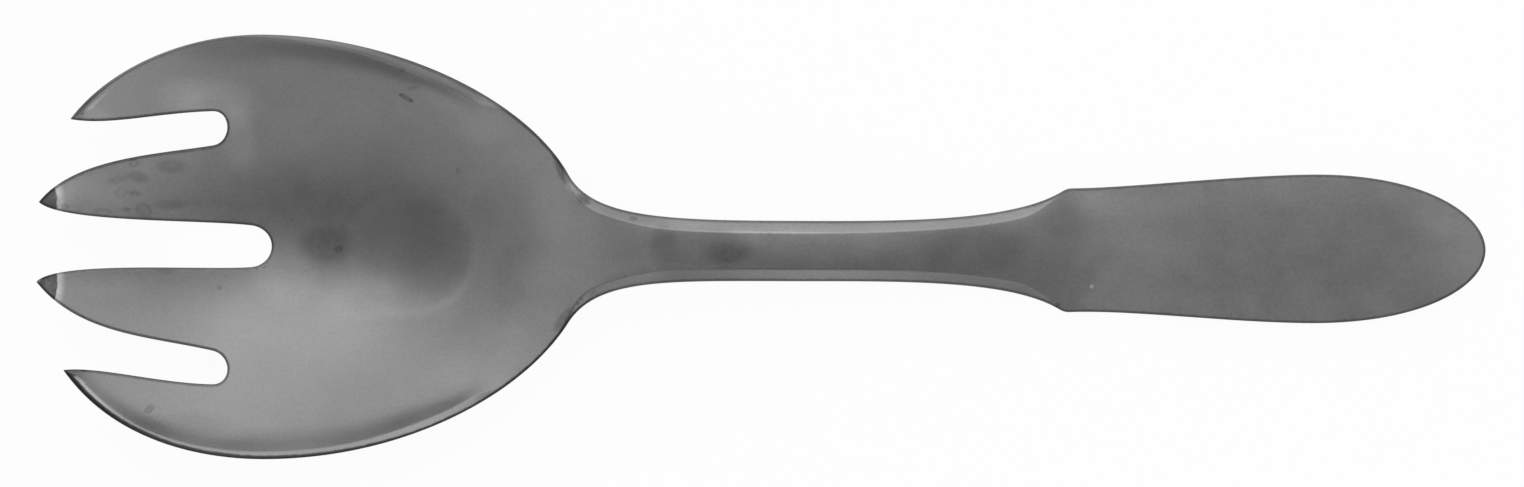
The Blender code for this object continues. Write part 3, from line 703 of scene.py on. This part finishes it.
def zones():
    """Each zone's name, material slot, and stretches of the outline in order."""
    right = {mark: loop_index(mark, RIGHT) for mark in RIGHT_MARKS}
    left = {mark: loop_index(mark, LEFT) for mark in LEFT_MARKS}
    yield "inner_tine_right", "tines", [(right["inner_root"], right["slot"])]
    yield "inner_tine_left", "tines", [(left["slot"], left["inner_root"])]
    yield "outer_tine_right", "tines", [(right["outer_root"], right["rim"])]
    yield "outer_tine_left", "tines", [(left["rim"], left["outer_root"])]
    yield "bowl", "bowl", [
        (left["inner_root"], right["inner_root"]),
        (right["slot"], right["outer_root"]),
        (right["rim"], right["shank"]),
        (left["shank"], left["rim"]),
        (left["outer_root"], left["slot"]),
    ]
    yield "shank", "shank", [(right["shank"], right["handle"]), (left["handle"], left["shank"])]
    yield "handle", "handle", [(right["handle"], left["handle"])]


SHIFT = Vector((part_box("handle")[1].x - HANDLE_END, 0.0, 0.0))


def face_normal(points, face):
    """Normal of a triangle or a quad, as long as twice its area."""
    return np.cross(points[face[2]] - points[face[0]], points[face[-1]] - points[face[1]])


class Value:
    """A number in a finish, as a node's output, on which arithmetic adds Math nodes."""

    def __init__(self, finish, socket):
        self.finish = finish
        self.socket = socket

    def maths(self, operation, first, second=0.0, clamp=False):
        return self.finish.node(
            "ShaderNodeMath", {"operation": operation, "use_clamp": clamp}, {0: first, 1: second})

    def __add__(self, other):
        return self.maths("ADD", self, other)

    def __radd__(self, other):
        return self.maths("ADD", other, self)

    def __sub__(self, other):
        return self.maths("SUBTRACT", self, other)

    def __rsub__(self, other):
        return self.maths("SUBTRACT", other, self)

    def __mul__(self, other):
        return self.maths("MULTIPLY", self, other)

    def __rmul__(self, other):
        return self.maths("MULTIPLY", other, self)

    def highest(self, other):
        return self.maths("MAXIMUM", self, other)

    def lowest(self, other):
        return self.maths("MINIMUM", self, other)

    def size(self):
        return self.maths("ABSOLUTE", self)


class Finish:
    """A material in the making, with its Principled shader."""

    def __init__(self, name):
        self.material = bpy.data.materials.new(name)
        self.material.use_nodes = True
        self.tree = self.material.node_tree
        self.shader = self.tree.nodes["Principled BSDF"]
        self.output = self.tree.nodes["Material Output"]

    def set_socket(self, socket, value):
        if isinstance(value, Value):
            self.tree.links.new(value.socket, socket)
        else:
            socket.default_value = value

    def node(self, kind, settings, sockets, output=0):
        """A node of any kind: its settings come first, then the values and links of its sockets."""
        made = self.tree.nodes.new(kind)
        for setting, value in settings.items():
            setattr(made, setting, value)
        for socket, value in sockets.items():
            self.set_socket(made.inputs[socket], value)
        return Value(self, made.outputs[output])

    def vector(self, operation, *inputs, output=0):
        """A Vector Math node."""
        sockets = dict(enumerate(inputs))
        return self.node("ShaderNodeVectorMath", {"operation": operation}, sockets, output)

    def shade(self, **sockets):
        """Set the shader's own sockets; a name's underscores stand for the spaces."""
        for socket, value in sockets.items():
            self.set_socket(self.shader.inputs[socket.replace("_", " ")], value)

    def carried(self, name):
        """A measure that the mesh carries at its points."""
        return self.node("ShaderNodeAttribute", {"attribute_name": name}, {}, "Fac")

    def step(self, value, start, stop):
        """Smooth step: 0 at the start, 1 at the stop."""
        return self.node(
            "ShaderNodeMapRange", {"interpolation_type": "SMOOTHSTEP"},
            {"Value": value, "From Min": start, "From Max": stop, "To Min": 0.0, "To Max": 1.0})

    def grey(self, value):
        """A value as a grey colour."""
        return self.node("ShaderNodeCombineColor", {}, {"Red": value, "Green": value, "Blue": value})


# Satin steel. Counts are grains to the millimetre; a fade gives where it begins and where it is full.
STEEL_SHADE = 0.22
STEEL_ROUGHNESS = 0.36
SIDE_FADE = (1.0, -1.0)
RIM_FADE = (0.3, 0.7)
UPPER_FADE = (0.4, 1.0)
GRAIN_COUNT = 2.6
GRAIN_DEPTH = 0.3
GRAIN_ROUGHNESS = 0.06
STREAK_COUNT = 2.5
STREAK_STRETCH = (14.0, 1.0, 1.0)
STREAK_DEPTH = 0.08
MOTTLE_COUNT = 0.22
MOTTLE_DEPTH = 0.22
MOTTLE_ROUGHNESS = 0.1
RAGGED_COUNT = 1.1
FINE_DETAIL = 3.0
LEAST_SPOT = 0.5
STAIN_SMOKE = 1.5
PIT_COUNT = 2.0
PIT_FADE = (0.17, 0.24)
PIT_DEPTH = 0.4
PITTED_EDGE = (0.6, 0.25)
PITTED_CREASE = (0.35, 0.1)
BUMP_STRENGTH = 0.2
BUMP_HEIGHT = 0.01 * MM

# Ground edges, painted dark as shade, in millimetres from the outline, with depths on the right side and
# on the left one
EDGE_FADE = (0.5, 0.2)
EDGE_WANDER = 0.25
EDGE_ROUGHNESS = 0.1
BROAD_EDGE = 0.2
BROAD_EDGE_FADE = (-40.0, -80.0)
BOWL_EDGE = (0.13, 0.75)
SHANK_EDGE = (0.25, 0.4)
HANDLE_EDGE = (0.5, 0.5)
SLOT_EDGE_DEPTH = (0.6, 0.35)
SHANK_FADE = (-28.0, -18.0)
HANDLE_FADE = (36.0, 46.0)

# Points of the tines, painted with shade and highlights, in millimetres from the point or, for insets,
# from the outline
FACET_REACH = {RIGHT: 2.55, LEFT: 2.95}
FACET_SQUASH = 0.55
FACET_WANDER = 0.35
FACET_FADE = (0.1, -0.1)
FACET_DEPTH = (0.5, 0.62)
FACET_SMOKE = 0.5
BAND_RISE = (-0.05, 0.15)
BAND_FALL = (1.4, 0.2)
BAND_HIGHLIGHT = 0.8
POINT_GRIND = 0.3
POINT_GRIND_FADE = (12.0, 5.0)
POINT_EDGE_FADE = (0.45, 0.25)
POINT_EDGE_DEPTH = 0.4
POINT_EDGE_REACH = {RIGHT: (9.0, 3.0), LEFT: (16.0, 8.0)}
POINT_LINE_INSET = {RIGHT: 1.1, LEFT: 0.95}
POINT_LINE_FADE = {RIGHT: (0.3, 0.08), LEFT: (0.35, 0.08)}
POINT_LINE_REACH = {RIGHT: (8.0, 4.0), LEFT: (14.0, 5.0)}
POINT_LINE_HIGHLIGHT = {RIGHT: 0.35, LEFT: 0.8}

# Stretches along the fork, in millimetres: each fades in over the first pair and out over the second
BOWL_BACK_STRETCH = ((-58.0, -50.0), (-26.5, -28.5))
NECK_STRETCH = ((-40.0, -33.0), (-26.5, -28.5))
CREASE_STRETCH = ((-16.0, -2.0), (24.0, 10.0))
RIGHT_SHADE_STRETCH = ((0.0, 8.0), (20.0, 12.0))
LEFT_HIGHLIGHT_STRETCH = ((-8.0, 6.0), (26.0, 12.0))
LEFT_CHAMFER_STRETCH = ((-17.0, -12.0), (44.0, 38.0))
HANDLE_STRETCH = ((42.0, 48.0), (101.0, 92.0))
RIGHT_CHAMFER_FADE = (-18.0, -6.0)
RIGHT_CREASE_FADE = (12.0, 4.0)

# Painted shade and highlights of the neck's line, of the shank's chamfers and creases, and of the
# handle's sides
NECK_LINE_WANDER = 0.3
NECK_LINE_FADE = (0.6, 0.25)
NECK_LINE_DEPTH = (0.2, 0.25)
BOWL_LINE_DEPTH = 0.4
CHAMFER_FADE = (0.0, -0.12)
RIGHT_CHAMFER_HIGHLIGHT = 0.12
RIGHT_CHAMFER_SHADE = 0.14
LEFT_CHAMFER_HIGHLIGHT = 0.2
LEFT_CHAMFER_SHADE = 0.1
CREASE_WANDER = 0.2
CREASE_FADE = (0.24, 0.08)
RIGHT_CREASE_HIGHLIGHT = 0.2
LEFT_CREASE_SHADE = 0.3
PAINTED_SHEEN_FADE = (6.0, 1.5)
PAINTED_SHEEN = 0.12

# Clouds of painted shade and painted highlights, partly uneven tone of the steel, and marks of use, in
# millimetres:
# middle, radii, turn in degrees, softness of the border, and depth of the shade, which is below zero
# where the mark is bright
HEAD_SHADE_CLOUDS = [
    ((-77.5, 20.5), (5.0, 3.0), 0, 1.2, -0.30),
    ((-74.0, 15.0), (2.0, 4.0), 0, 1.2, -0.20),
    ((-95.5, 6.5), (6.5, 3.0), 0, 1.2, -0.26),
    ((-74.5, 28.0), (6.5, 2.0), 0, 1.2, 0.13),
    ((-95.0, 18.5), (3.0, 1.5), 0, 1.2, -0.14),
    ((-82.5, 21.5), (3.0, 2.2), 0, 1.2, -0.13),
    ((-79.0, 4.8), (5.5, 1.1), 0, 1.2, -0.14),
    ((-92.0, -5.0), (5.0, 2.0), 0, 1.2, -0.11),
    ((-81.0, -25.0), (5.0, 1.5), 0, 1.2, 0.10),
]
HOLLOW_SHADE_CLOUDS = [
    ((-55.0, 2.5), (14.0, 9.5), 0, 1.0, 0.23),
    ((-49.0, 0.2), (8.2, 6.8), -12, 0.5, 0.15),
    ((-46.5, 3.5), (4.5, 4.0), 0, 1.2, 0.10),
    ((-52.0, 5.0), (5.5, 5.0), 0, 1.2, 0.14),
    ((-45.5, 12.0), (10.5, 5.5), 0, 1.3, 0.15),
    ((-40.0, 4.0), (2.5, 3.5), 0, 1.2, 0.12),
    ((-67.5, 8.5), (4.0, 4.0), 0, 1.2, 0.13),
    ((-59.0, 12.5), (8.5, 5.5), 0, 1.4, 0.06),
    ((-67.5, -3.5), (4.0, 4.0), 0, 1.2, -0.25),
    ((-55.5, -6.0), (7.0, 3.5), 0, 1.2, -0.19),
    ((-46.0, -6.5), (4.0, 3.5), 0, 1.0, -0.11),
    ((-52.5, -4.9), (2.8, 1.4), 0, 1.2, -0.09),
    ((-56.3, -7.9), (3.0, 1.3), 0, 1.2, 0.08),
    ((-60.0, -11.5), (13.0, 5.5), 0, 1.4, -0.07),
    ((-42.5, -17.5), (4.0, 3.0), 0, 1.3, -0.09),
    ((-39.5, 17.5), (3.5, 2.5), 0, 1.3, -0.12),
    ((-44.6, 22.2), (3.2, 0.8), -28, 1.2, 0.09),
    ((-45.4, 20.8), (4.0, 1.0), -28, 1.3, -0.08),
    ((-42.4, 22.0), (2.8, 0.55), -31, 1.0, -0.18),
    ((-34.5, 14.5), (6.5, 5.0), 0, 1.2, -0.10),
    ((-36.5, 6.5), (3.5, 4.0), 0, 1.3, 0.07),
    ((-30.0, 6.0), (2.5, 4.0), 0, 1.3, -0.07),
    ((-32.5, -3.5), (3.5, 2.5), 0, 1.3, -0.10),
    ((-33.0, -13.5), (5.5, 5.0), 0, 1.2, -0.14),
    ((-50.0, -0.6), (9.7, 9.0), 0, 0.2, -0.20),
    ((-50.5, -0.15), (9.6, 8.9), 0, 0.2, 0.165),
]
NECK_SHADE_CLOUDS = [
    ((-20.0, 0.0), (5.0, 5.0), 0, 1.2, 0.09),
    ((-17.5, -3.0), (3.5, 1.5), 0, 1.2, -0.13),
    ((-20.0, 5.0), (5.0, 1.1), -12, 1.2, 0.12),
]
SHANK_SHADE_CLOUDS = [
    ((-8.5, 0.3), (7.0, 2.7), 0, 0.25, 0.09),
    ((-13.8, 0.3), (2.0, 3.0), 0, 0.9, 0.16),
    ((-14.5, 1.4), (2.5, 1.2), 0, 1.2, 0.10),
    ((-2.5, 1.4), (3.0, 1.2), 0, 1.2, -0.12),
    ((8.5, 1.0), (10.0, 2.5), 0, 1.0, -0.20),
    ((31.0, 0.0), (7.2, 3.5), 0, 0.9, 0.12),
]
SHOULDER_SHADE_CLOUDS = [
    ((50.5, 0.5), (7.0, 8.0), 0, 1.0, -0.12),
    ((42.0, 4.5), (3.0, 3.0), 0, 1.3, 0.11),
    ((46.0, 7.5), (2.5, 2.5), 0, 1.3, -0.12),
    ((49.5, 3.5), (3.0, 4.5), 0, 1.2, -0.06),
]
HANDLE_SHADE_CLOUDS = [
    ((60.0, 1.5), (5.5, 5.0), 0, 1.4, -0.06),
    ((83.5, 0.0), (4.0, 5.0), 0, 1.2, 0.06),
    ((95.0, 0.5), (9.0, 5.0), 0, 1.4, -0.08),
    ((95.0, -5.5), (4.5, 2.5), 20, 1.3, 0.08),
]
WATER_STAINS = [
    ((-83.6, 11.4), (2.0, 1.0), 0, 0.9, 0.20),
    ((-91.2, 9.5), (1.6, 0.5), 12, 0.9, 0.17),
    ((-88.2, 9.9), (1.5, 0.7), -15, 0.9, 0.22),
    ((-88.9, 11.8), (0.75, 0.5), 0, 0.6, 0.25),
    ((-88.9, 11.8), (0.5, 0.28), 0, 0.6, -0.22),
    ((-90.7, 7.7), (1.0, 0.7), 0, 0.5, 0.15),
    ((-90.7, 7.7), (0.75, 0.48), 0, 0.6, -0.12),
    ((-88.9, 7.6), (1.0, 0.4), 0, 0.9, 0.20),
    ((-93.3, 4.9), (1.15, 0.6), 0, 0.5, 0.21),
    ((-93.3, 4.7), (0.85, 0.38), 0, 0.6, -0.18),
    ((-89.9, 5.3), (0.65, 0.3), 0, 0.8, 0.25),
    ((-87.6, 5.2), (1.15, 1.0), 0, 0.4, 0.24),
    ((-87.6, 5.1), (0.9, 0.75), 0, 0.6, -0.19),
    ((-83.8, 6.0), (2.2, 0.7), 0, 0.9, 0.17),
    ((-98.5, 5.7), (0.6, 0.4), 0, 0.6, 0.22),
    ((-84.5, -3.5), (1.0, 0.4), 0, 0.6, 0.14),
    ((-86.5, -22.9), (0.7, 0.5), 30, 0.6, 0.25),
    # The very point of the left inner tine, painted bright
    ((-102.3, -4.75), (0.6, 0.3), 30, 0.8, -1.6),
    ((-94.6, 17.85), (0.3, 0.2), 0, 0.5, 0.5),
    ((-95.6, -17.35), (0.5, 0.25), 0, 0.5, 0.5),
]
BOWL_STAINS = [
    ((-61.8, 0.4), (3.5, 2.4), 0, 0.9, 0.24),
    ((-60.0, -0.2), (0.6, 0.45), 0, 1.0, 0.28),
    ((-50.4, 21.2), (1.1, 0.32), -33, 0.8, 0.35),
    ((-51.2, 21.7), (0.4, 0.3), 0, 0.6, 0.25),
    ((-49.6, 20.8), (0.4, 0.3), 0, 0.6, 0.25),
    ((-49.5, 22.6), (0.8, 0.3), 8, 0.9, 0.20),
    ((-50.9, 25.1), (0.35, 0.3), 0, 0.6, 0.20),
    ((-76.8, -5.7), (0.4, 0.35), 0, 0.8, 0.20),
    ((-43.1, 11.0), (0.35, 0.35), 0, 0.8, 0.20),
    ((-28.6, 11.1), (1.9, 0.45), -70, 0.7, 0.40),
    ((-27.2, 8.6), (0.7, 0.5), -50, 0.8, -0.22),
    ((-25.25, 6.9), (1.1, 0.6), -33, 0.8, 0.40),
    ((-18.2, 4.2), (0.5, 0.3), -5, 0.8, 0.30),
    ((-27.85, -9.95), (2.2, 0.85), 51, 0.8, 0.28),
    ((-24.9, -7.0), (1.8, 0.6), 37, 0.9, 0.18),
    ((-26.0, -7.8), (0.35, 0.3), 50, 0.7, 0.30),
    ((-25.5, -7.2), (0.3, 0.25), 50, 0.7, 0.30),
]
SHANK_STAINS = [
    ((-4.6, -0.5), (3.0, 1.6), 0, 1.0, 0.22),
    ((41.9, -7.9), (0.6, 0.4), 40, 0.8, 0.25),
]
HANDLE_STAINS = [((46.7, -5.2), (0.25, 0.25), 0, 0.6, -0.8)]


class Steel(Finish):
    """The fork's satin steel in the making: where a point lies on it, and the noise its marks share."""

    def __init__(self, slot):
        super().__init__("satin_steel_" + slot)
        metres = self.node("ShaderNodeTexCoord", {}, {}, "Object")
        self.place = self.vector("MULTIPLY", metres, (1 / MM,) * 3)
        self.along = self.node("ShaderNodeSeparateXYZ", {}, {0: self.place}, "X")
        self.left = self.step(self.node("ShaderNodeSeparateXYZ", {}, {0: self.place}, "Y"), *SIDE_FADE)
        self.inset = self.carried("inset") * (1 / MM)
        self.crease = self.carried("crease") * (1 / MM)
        self.rim = self.step(self.carried("rim"), *RIM_FADE)
        self.upper = self.step(self.carried("upper"), *UPPER_FADE)
        self.ragged = self.noise(RAGGED_COUNT, FINE_DETAIL)

    def sides(self, right, left):
        """The first value on the fork's right side, the second one on its left side."""
        return right + (left - right) * self.left

    def stretch(self, rise, fall):
        """1 along a stretch of the fork, which fades in and out."""
        return self.step(self.along, *rise) * self.step(self.along, *fall)

    def noise(self, count, detail=2.0, stretch=(1.0, 1.0, 1.0)):
        """Noise about zero, of the given grains to the millimetre, stretched along the axes."""
        spread = self.vector("DIVIDE", self.place, stretch)
        sockets = {"Vector": spread, "Scale": count, "Detail": detail}
        return self.node("ShaderNodeTexNoise", {}, sockets, "Fac") - 0.5

    def far(self, middle, degrees, scales):
        """Distance in plan from a middle, with the axes turned and then scaled."""
        apart = self.vector("SUBTRACT", self.place, (*middle, 0.0))
        turned = self.node(
            "ShaderNodeVectorRotate", {"rotation_type": "Z_AXIS"},
            {"Vector": apart, "Angle": -math.radians(degrees)})
        return self.vector("LENGTH", self.vector("MULTIPLY", turned, (*scales, 0.0)), output="Value")

    def spot(self, middle, radii, degrees, softness):
        """Oval spot in plan: 1 inside, 0 outside, with a soft border that wanders."""
        wander = self.ragged * (1 / max(math.sqrt(radii[0] * radii[1]), LEAST_SPOT))
        border = self.far(middle, degrees, (1 / radii[0], 1 / radii[1])) + wander
        return self.step(border, 1.0 + softness / 2, 1.0 - softness / 2)

    def marks(self, listed, thickness=1.0):
        """Shade left by a list of marks: dark ones lower it, bright ones raise it."""
        shade = 1.0
        for middle, radii, degrees, softness, depth in listed:
            shade = shade * (1 - depth * thickness * self.spot(middle, radii, degrees, softness))
        return shade


def tine_painted_shading(steel):
    """Painted shade and highlights at the tines' points: on the inner ones a ground facet painted dark
    as shade, with a painted highlight band behind it; on the outer ones an outer edge painted dark as
    shade, with a painted highlight line inside it."""

    def away(point, side, squash=1.0):
        """How far one tine's point lies, in millimetres, with distances across the fork shrunk."""
        x, y = HALVES[side][point]
        tip = (Vector((x, side * y, 0.0)) + SHIFT) / MM
        return steel.far((tip.x, tip.y), 0, (1.0, squash))

    right, left = (away("inner_tip", side, FACET_SQUASH) - FACET_REACH[side] for side in (RIGHT, LEFT))
    past = right.lowest(left) + FACET_WANDER * steel.ragged
    facet = steel.step(past, *FACET_FADE)
    facet = (steel.sides(*FACET_DEPTH) + FACET_SMOKE * steel.ragged) * facet
    band = steel.step(past, *BAND_RISE) * steel.step(past, *BAND_FALL)
    outer = away("outer_tip", RIGHT).lowest(away("outer_tip", LEFT))
    inset = steel.inset + EDGE_WANDER * steel.ragged - POINT_GRIND * steel.step(outer, *POINT_GRIND_FADE)
    ground = steel.step(inset, *POINT_EDGE_FADE) * steel.rim
    depths, highlights = [], []
    for side in (RIGHT, LEFT):
        depths.append(POINT_EDGE_DEPTH * steel.step(outer, *POINT_EDGE_REACH[side]))
        line = steel.step((steel.inset - POINT_LINE_INSET[side]).size(), *POINT_LINE_FADE[side])
        highlights.append(POINT_LINE_HIGHLIGHT[side] * line * steel.step(outer, *POINT_LINE_REACH[side]))
    painted_highlights = (1 + (BAND_HIGHLIGHT + steel.ragged) * band) * (1 + steel.sides(*highlights) * steel.rim)
    return (1 - facet) * (1 - steel.sides(*depths) * ground) * painted_highlights


def neck_painted_shade(steel):
    """Painted shade along the bowl's edge where it narrows to the neck: a dark line, strongest on the
    right.
    """
    neck = steel.sides(*NECK_LINE_DEPTH) * steel.stretch(*NECK_STRETCH)
    bowl = steel.sides(BOWL_LINE_DEPTH, 0.0) * steel.stretch(*BOWL_BACK_STRETCH)
    line = steel.step(steel.inset + NECK_LINE_WANDER * steel.ragged, *NECK_LINE_FADE)
    return 1 - (neck + bowl) * line


def shank_painted_shading(steel):
    """Painted light and shade on the shank's chamfers, which differ by side, with a painted highlight
    along the right crease and painted shade along the left one.
    """
    right = RIGHT_CHAMFER_HIGHLIGHT * steel.step(steel.along, *RIGHT_CHAMFER_FADE)
    right = right - RIGHT_CHAMFER_SHADE * steel.stretch(*RIGHT_SHADE_STRETCH)
    left = LEFT_CHAMFER_HIGHLIGHT * steel.stretch(*LEFT_HIGHLIGHT_STRETCH) - LEFT_CHAMFER_SHADE
    left = left * steel.stretch(*LEFT_CHAMFER_STRETCH)
    chamfer = steel.step(steel.crease, *CHAMFER_FADE) * steel.sides(right, left)
    line = steel.step((steel.crease + CREASE_WANDER * steel.ragged).size(), *CREASE_FADE)
    line = line * steel.stretch(*CREASE_STRETCH)
    crease_highlight = RIGHT_CREASE_HIGHLIGHT * steel.step(steel.along, *RIGHT_CREASE_FADE)
    return (1 + chamfer) * (1 + line * steel.sides(crease_highlight, -LEFT_CREASE_SHADE))


def painted_edge_shade(steel):
    """How dark the ground edge is painted as shade, from the bowl through the shank to the handle, and
    at the slots.
    """
    bowl, shank, handle, slots = (
        steel.sides(*depths) for depths in (BOWL_EDGE, SHANK_EDGE, HANDLE_EDGE, SLOT_EDGE_DEPTH))
    rim = bowl + (shank - bowl) * steel.step(steel.along, *SHANK_FADE)
    rim = rim + (handle - shank) * steel.step(steel.along, *HANDLE_FADE)
    return slots + (rim - slots) * steel.rim


def satin_steel(slot, shade_clouds, stains, painted_light):
    """Satin steel with a fine grain, mottling, pits, edges painted dark as shade, and the painted shade,
    highlights and marks of use of its slot.
    """
    steel = Steel(slot)
    grain = steel.noise(GRAIN_COUNT)
    streaks = steel.noise(STREAK_COUNT, stretch=STREAK_STRETCH)
    mottle = steel.noise(MOTTLE_COUNT, FINE_DETAIL)
    # The edge band: painted dark as shade, wider on the left towards the points, and made rougher
    broad = BROAD_EDGE * steel.step(steel.along, *BROAD_EDGE_FADE) * steel.left * steel.rim
    edge = steel.step(steel.inset + EDGE_WANDER * steel.ragged - broad, *EDGE_FADE)
    pitted = steel.step(steel.crease.size(), *PITTED_CREASE)
    pitted = pitted.highest(steel.step(steel.inset, *PITTED_EDGE))
    pits = steel.step(steel.noise(PIT_COUNT), *PIT_FADE) * pitted
    # Painted sheen: the handle painted lighter towards its edges
    painted_sheen = 1 + PAINTED_SHEEN * steel.step(steel.inset, *PAINTED_SHEEN_FADE) * steel.stretch(*HANDLE_STRETCH)
    # Painted shade and highlights, with the real stains and pits, lie on the upper face only
    wear_and_painted_light = steel.marks(shade_clouds) * steel.marks(stains, 1 + STAIN_SMOKE * steel.ragged) * painted_sheen
    if painted_light:
        wear_and_painted_light = wear_and_painted_light * painted_light(steel)
    wear_and_painted_light = wear_and_painted_light * (1 - painted_edge_shade(steel) * edge) * (1 - PIT_DEPTH * pits)
    wear_and_painted_light = 1 + (wear_and_painted_light - 1) * steel.upper
    grained = 1 + MOTTLE_DEPTH * mottle + GRAIN_DEPTH * grain + STREAK_DEPTH * streaks
    rough = STEEL_ROUGHNESS + MOTTLE_ROUGHNESS * mottle + GRAIN_ROUGHNESS * grain + EDGE_ROUGHNESS * edge
    steel.shade(
        Base_Color=steel.grey(STEEL_SHADE * grained * wear_and_painted_light),
        Metallic=1.0,
        Roughness=rough,
        Normal=steel.node(
            "ShaderNodeBump", {},
            {"Strength": BUMP_STRENGTH, "Distance": BUMP_HEIGHT, "Height": grain + streaks}),
    )
    return steel.material


STEELS = {
    "tines": satin_steel("tines", HEAD_SHADE_CLOUDS, WATER_STAINS, tine_painted_shading),
    "bowl": satin_steel("bowl", HEAD_SHADE_CLOUDS + HOLLOW_SHADE_CLOUDS + NECK_SHADE_CLOUDS, BOWL_STAINS, neck_painted_shade),
    "shank": satin_steel(
        "shank", NECK_SHADE_CLOUDS + SHANK_SHADE_CLOUDS + SHOULDER_SHADE_CLOUDS, SHANK_STAINS, shank_painted_shading),
    "handle": satin_steel("handle", SHOULDER_SHADE_CLOUDS + HANDLE_SHADE_CLOUDS, HANDLE_STAINS, None),
}


def piece_mesh(name, points, skin, flats, measures, normals):
    """Closed mesh of one zone, with the skin's normals running on across the cuts."""
    mesh = bpy.data.meshes.new(name)
    mesh.from_pydata([tuple(point) for point in points], [], skin + flats)
    for measure, values in measures.items():
        attribute = mesh.attributes.new(measure, "FLOAT", "POINT")
        attribute.data.foreach_set("value", values)
    loop_normals = [normals[corner] for face in skin for corner in face]
    for face in flats:
        loop_normals += [face_normal(points, face)] * len(face)
    mesh.shade_smooth()
    mesh.normals_split_custom_set([Vector(normal).normalized() for normal in loop_normals])
    return mesh


def pooled_normals(solids):
    """Normals of each zone's points, summed over all the zones that share a point."""
    total = {}
    keys = []
    for points, skin, flats in solids:
        own = [tuple(key) for key in np.round(points / (SAME_POINT * MM)).astype(int)]
        keys.append(own)
        for face in skin:
            normal = face_normal(points, face)
            for corner in face:
                total[own[corner]] = total.get(own[corner], 0.0) + normal
    return [[total[key] if key in total else None for key in own] for own in keys]


def forge():
    """The seven zones, each standing for its CAD node."""
    made = [(name, slot, Zone(stretches)) for name, slot, stretches in zones()]
    solids = [zone.solid() for _, _, zone in made]
    for (name, slot, zone), (points, skin, flats), normals in zip(made, solids, pooled_normals(solids)):
        moved = points + np.array(SHIFT)
        measures = {measure: values * 2 for measure, values in zone.measures.items()}
        count = len(zone.plan)
        measures["upper"] = [1.0] * count + [0.0] * count
        mesh = piece_mesh("satin_" + name, moved, skin, flats, measures, normals)
        mesh.materials.append(STEELS[slot])
        piece = bpy.data.objects.new("satin_" + name, mesh)
        bpy.context.scene.collection.objects.link(piece)
        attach(piece, "root")
        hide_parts(name)


# Studio
FLOOR_SHADE = (0.9, 0.9, 0.9, 1.0)
FLOOR_ROUGHNESS = 0.9
FLOOR_REACH = 2.5
FLOOR_LEVEL = -0.05 * MM
WHITE = (1.0, 1.0, 1.0, 1.0)
WHITE_SHARE = 0.95
LAMP_DISTANCE = 1.2
ROOM_SHADE = (0.35, 0.35, 0.35, 1.0)


def lay_floor():
    """Plain pale floor, white to the camera, which keeps a trace of the fork's shadow."""
    finish = Finish("pale_floor")
    finish.shade(Base_Color=FLOOR_SHADE, Roughness=FLOOR_ROUGHNESS)
    seen = finish.node("ShaderNodeLightPath", {}, {}, "Is Camera Ray")
    for ray in ("Is Glossy Ray", "Is Transmission Ray"):
        seen = seen.highest(finish.node("ShaderNodeLightPath", {}, {}, ray))
    white = finish.node("ShaderNodeEmission", {}, {"Color": WHITE, "Strength": 1.0})
    plain = Value(finish, finish.shader.outputs["BSDF"])
    mixed = finish.node("ShaderNodeMixShader", {}, {0: WHITE_SHARE * seen, 1: plain, 2: white})
    finish.set_socket(finish.output.inputs["Surface"], mixed)
    mesh = bpy.data.meshes.new("pale_floor")
    signs = [(-1, -1), (1, -1), (1, 1), (-1, 1)]
    corners = [(x * FLOOR_REACH, y * FLOOR_REACH, FLOOR_LEVEL) for x, y in signs]
    mesh.from_pydata(corners, [], [(0, 1, 2, 3)])
    mesh.materials.append(finish.material)
    floor = bpy.data.objects.new("pale_floor", mesh)
    bpy.context.scene.collection.objects.link(floor)


def softbox(name, lean, turn, size, radiance):
    """Soft lamp that faces the fork, leaning from overhead by one angle, turned about by another."""
    lamp = bpy.data.lights.new(name, "AREA")
    lamp.shape = "RECTANGLE"
    lamp.size, lamp.size_y = size
    lamp.energy = radiance * math.pi * size[0] * size[1]
    holder = bpy.data.objects.new(name, lamp)
    lean, turn = math.radians(lean), math.radians(turn)
    towards = Vector((math.sin(lean) * math.cos(turn), math.sin(lean) * math.sin(turn), math.cos(lean)))
    holder.location = LAMP_DISTANCE * towards
    holder.rotation_euler = towards.to_track_quat("Z", "Y").to_euler()
    bpy.context.scene.collection.objects.link(holder)


def light_studio():
    """A long lamp behind the fork, weaker ones about it, and a dim even room."""
    softbox("key_lamp", 40, 90, (2.4, 0.8), 0.80)
    softbox("front_lamp", 50, 270, (2.4, 0.8), 0.49)
    softbox("top_lamp", 20, 150, (2.4, 0.8), 0.58)
    softbox("low_lamp", 70, 90, (0.6, 0.6), 1.07)
    softbox("right_lamp", 50, 345, (2.4, 0.4), 0.91)
    softbox("corner_lamp", 40, 60, (0.7, 1.4), 0.40)
    world = bpy.data.worlds.new("dim_room")
    world.use_nodes = True
    world.node_tree.nodes["Background"].inputs["Color"].default_value = ROOM_SHADE
    bpy.context.scene.world = world


# Camera: straight above, with the photo's scale
PHOTO_WIDTH = 1524
SCALE = 0.14178 * MM
AIM = (-0.03 * MM, 0.75 * MM)
ROLL = 0.172
LENS = 450.0
SENSOR = 36.0
FARTHEST_SEEN = 20.0


def hang_camera():
    """Camera far overhead, with a long lens, handle to the right."""
    camera = bpy.data.cameras.new("overhead_camera")
    camera.lens = LENS
    camera.sensor_width = SENSOR
    holder = bpy.data.objects.new("overhead_camera", camera)
    holder.location = (*AIM, PHOTO_WIDTH * SCALE * LENS / SENSOR)
    holder.rotation_euler = (0.0, 0.0, math.radians(ROLL))
    camera.clip_end = FARTHEST_SEEN
    bpy.context.scene.collection.objects.link(holder)
    bpy.context.scene.camera = holder


forge()
lay_floor()
light_studio()
hang_camera()
bpy.context.scene.view_settings.view_transform = "Standard"
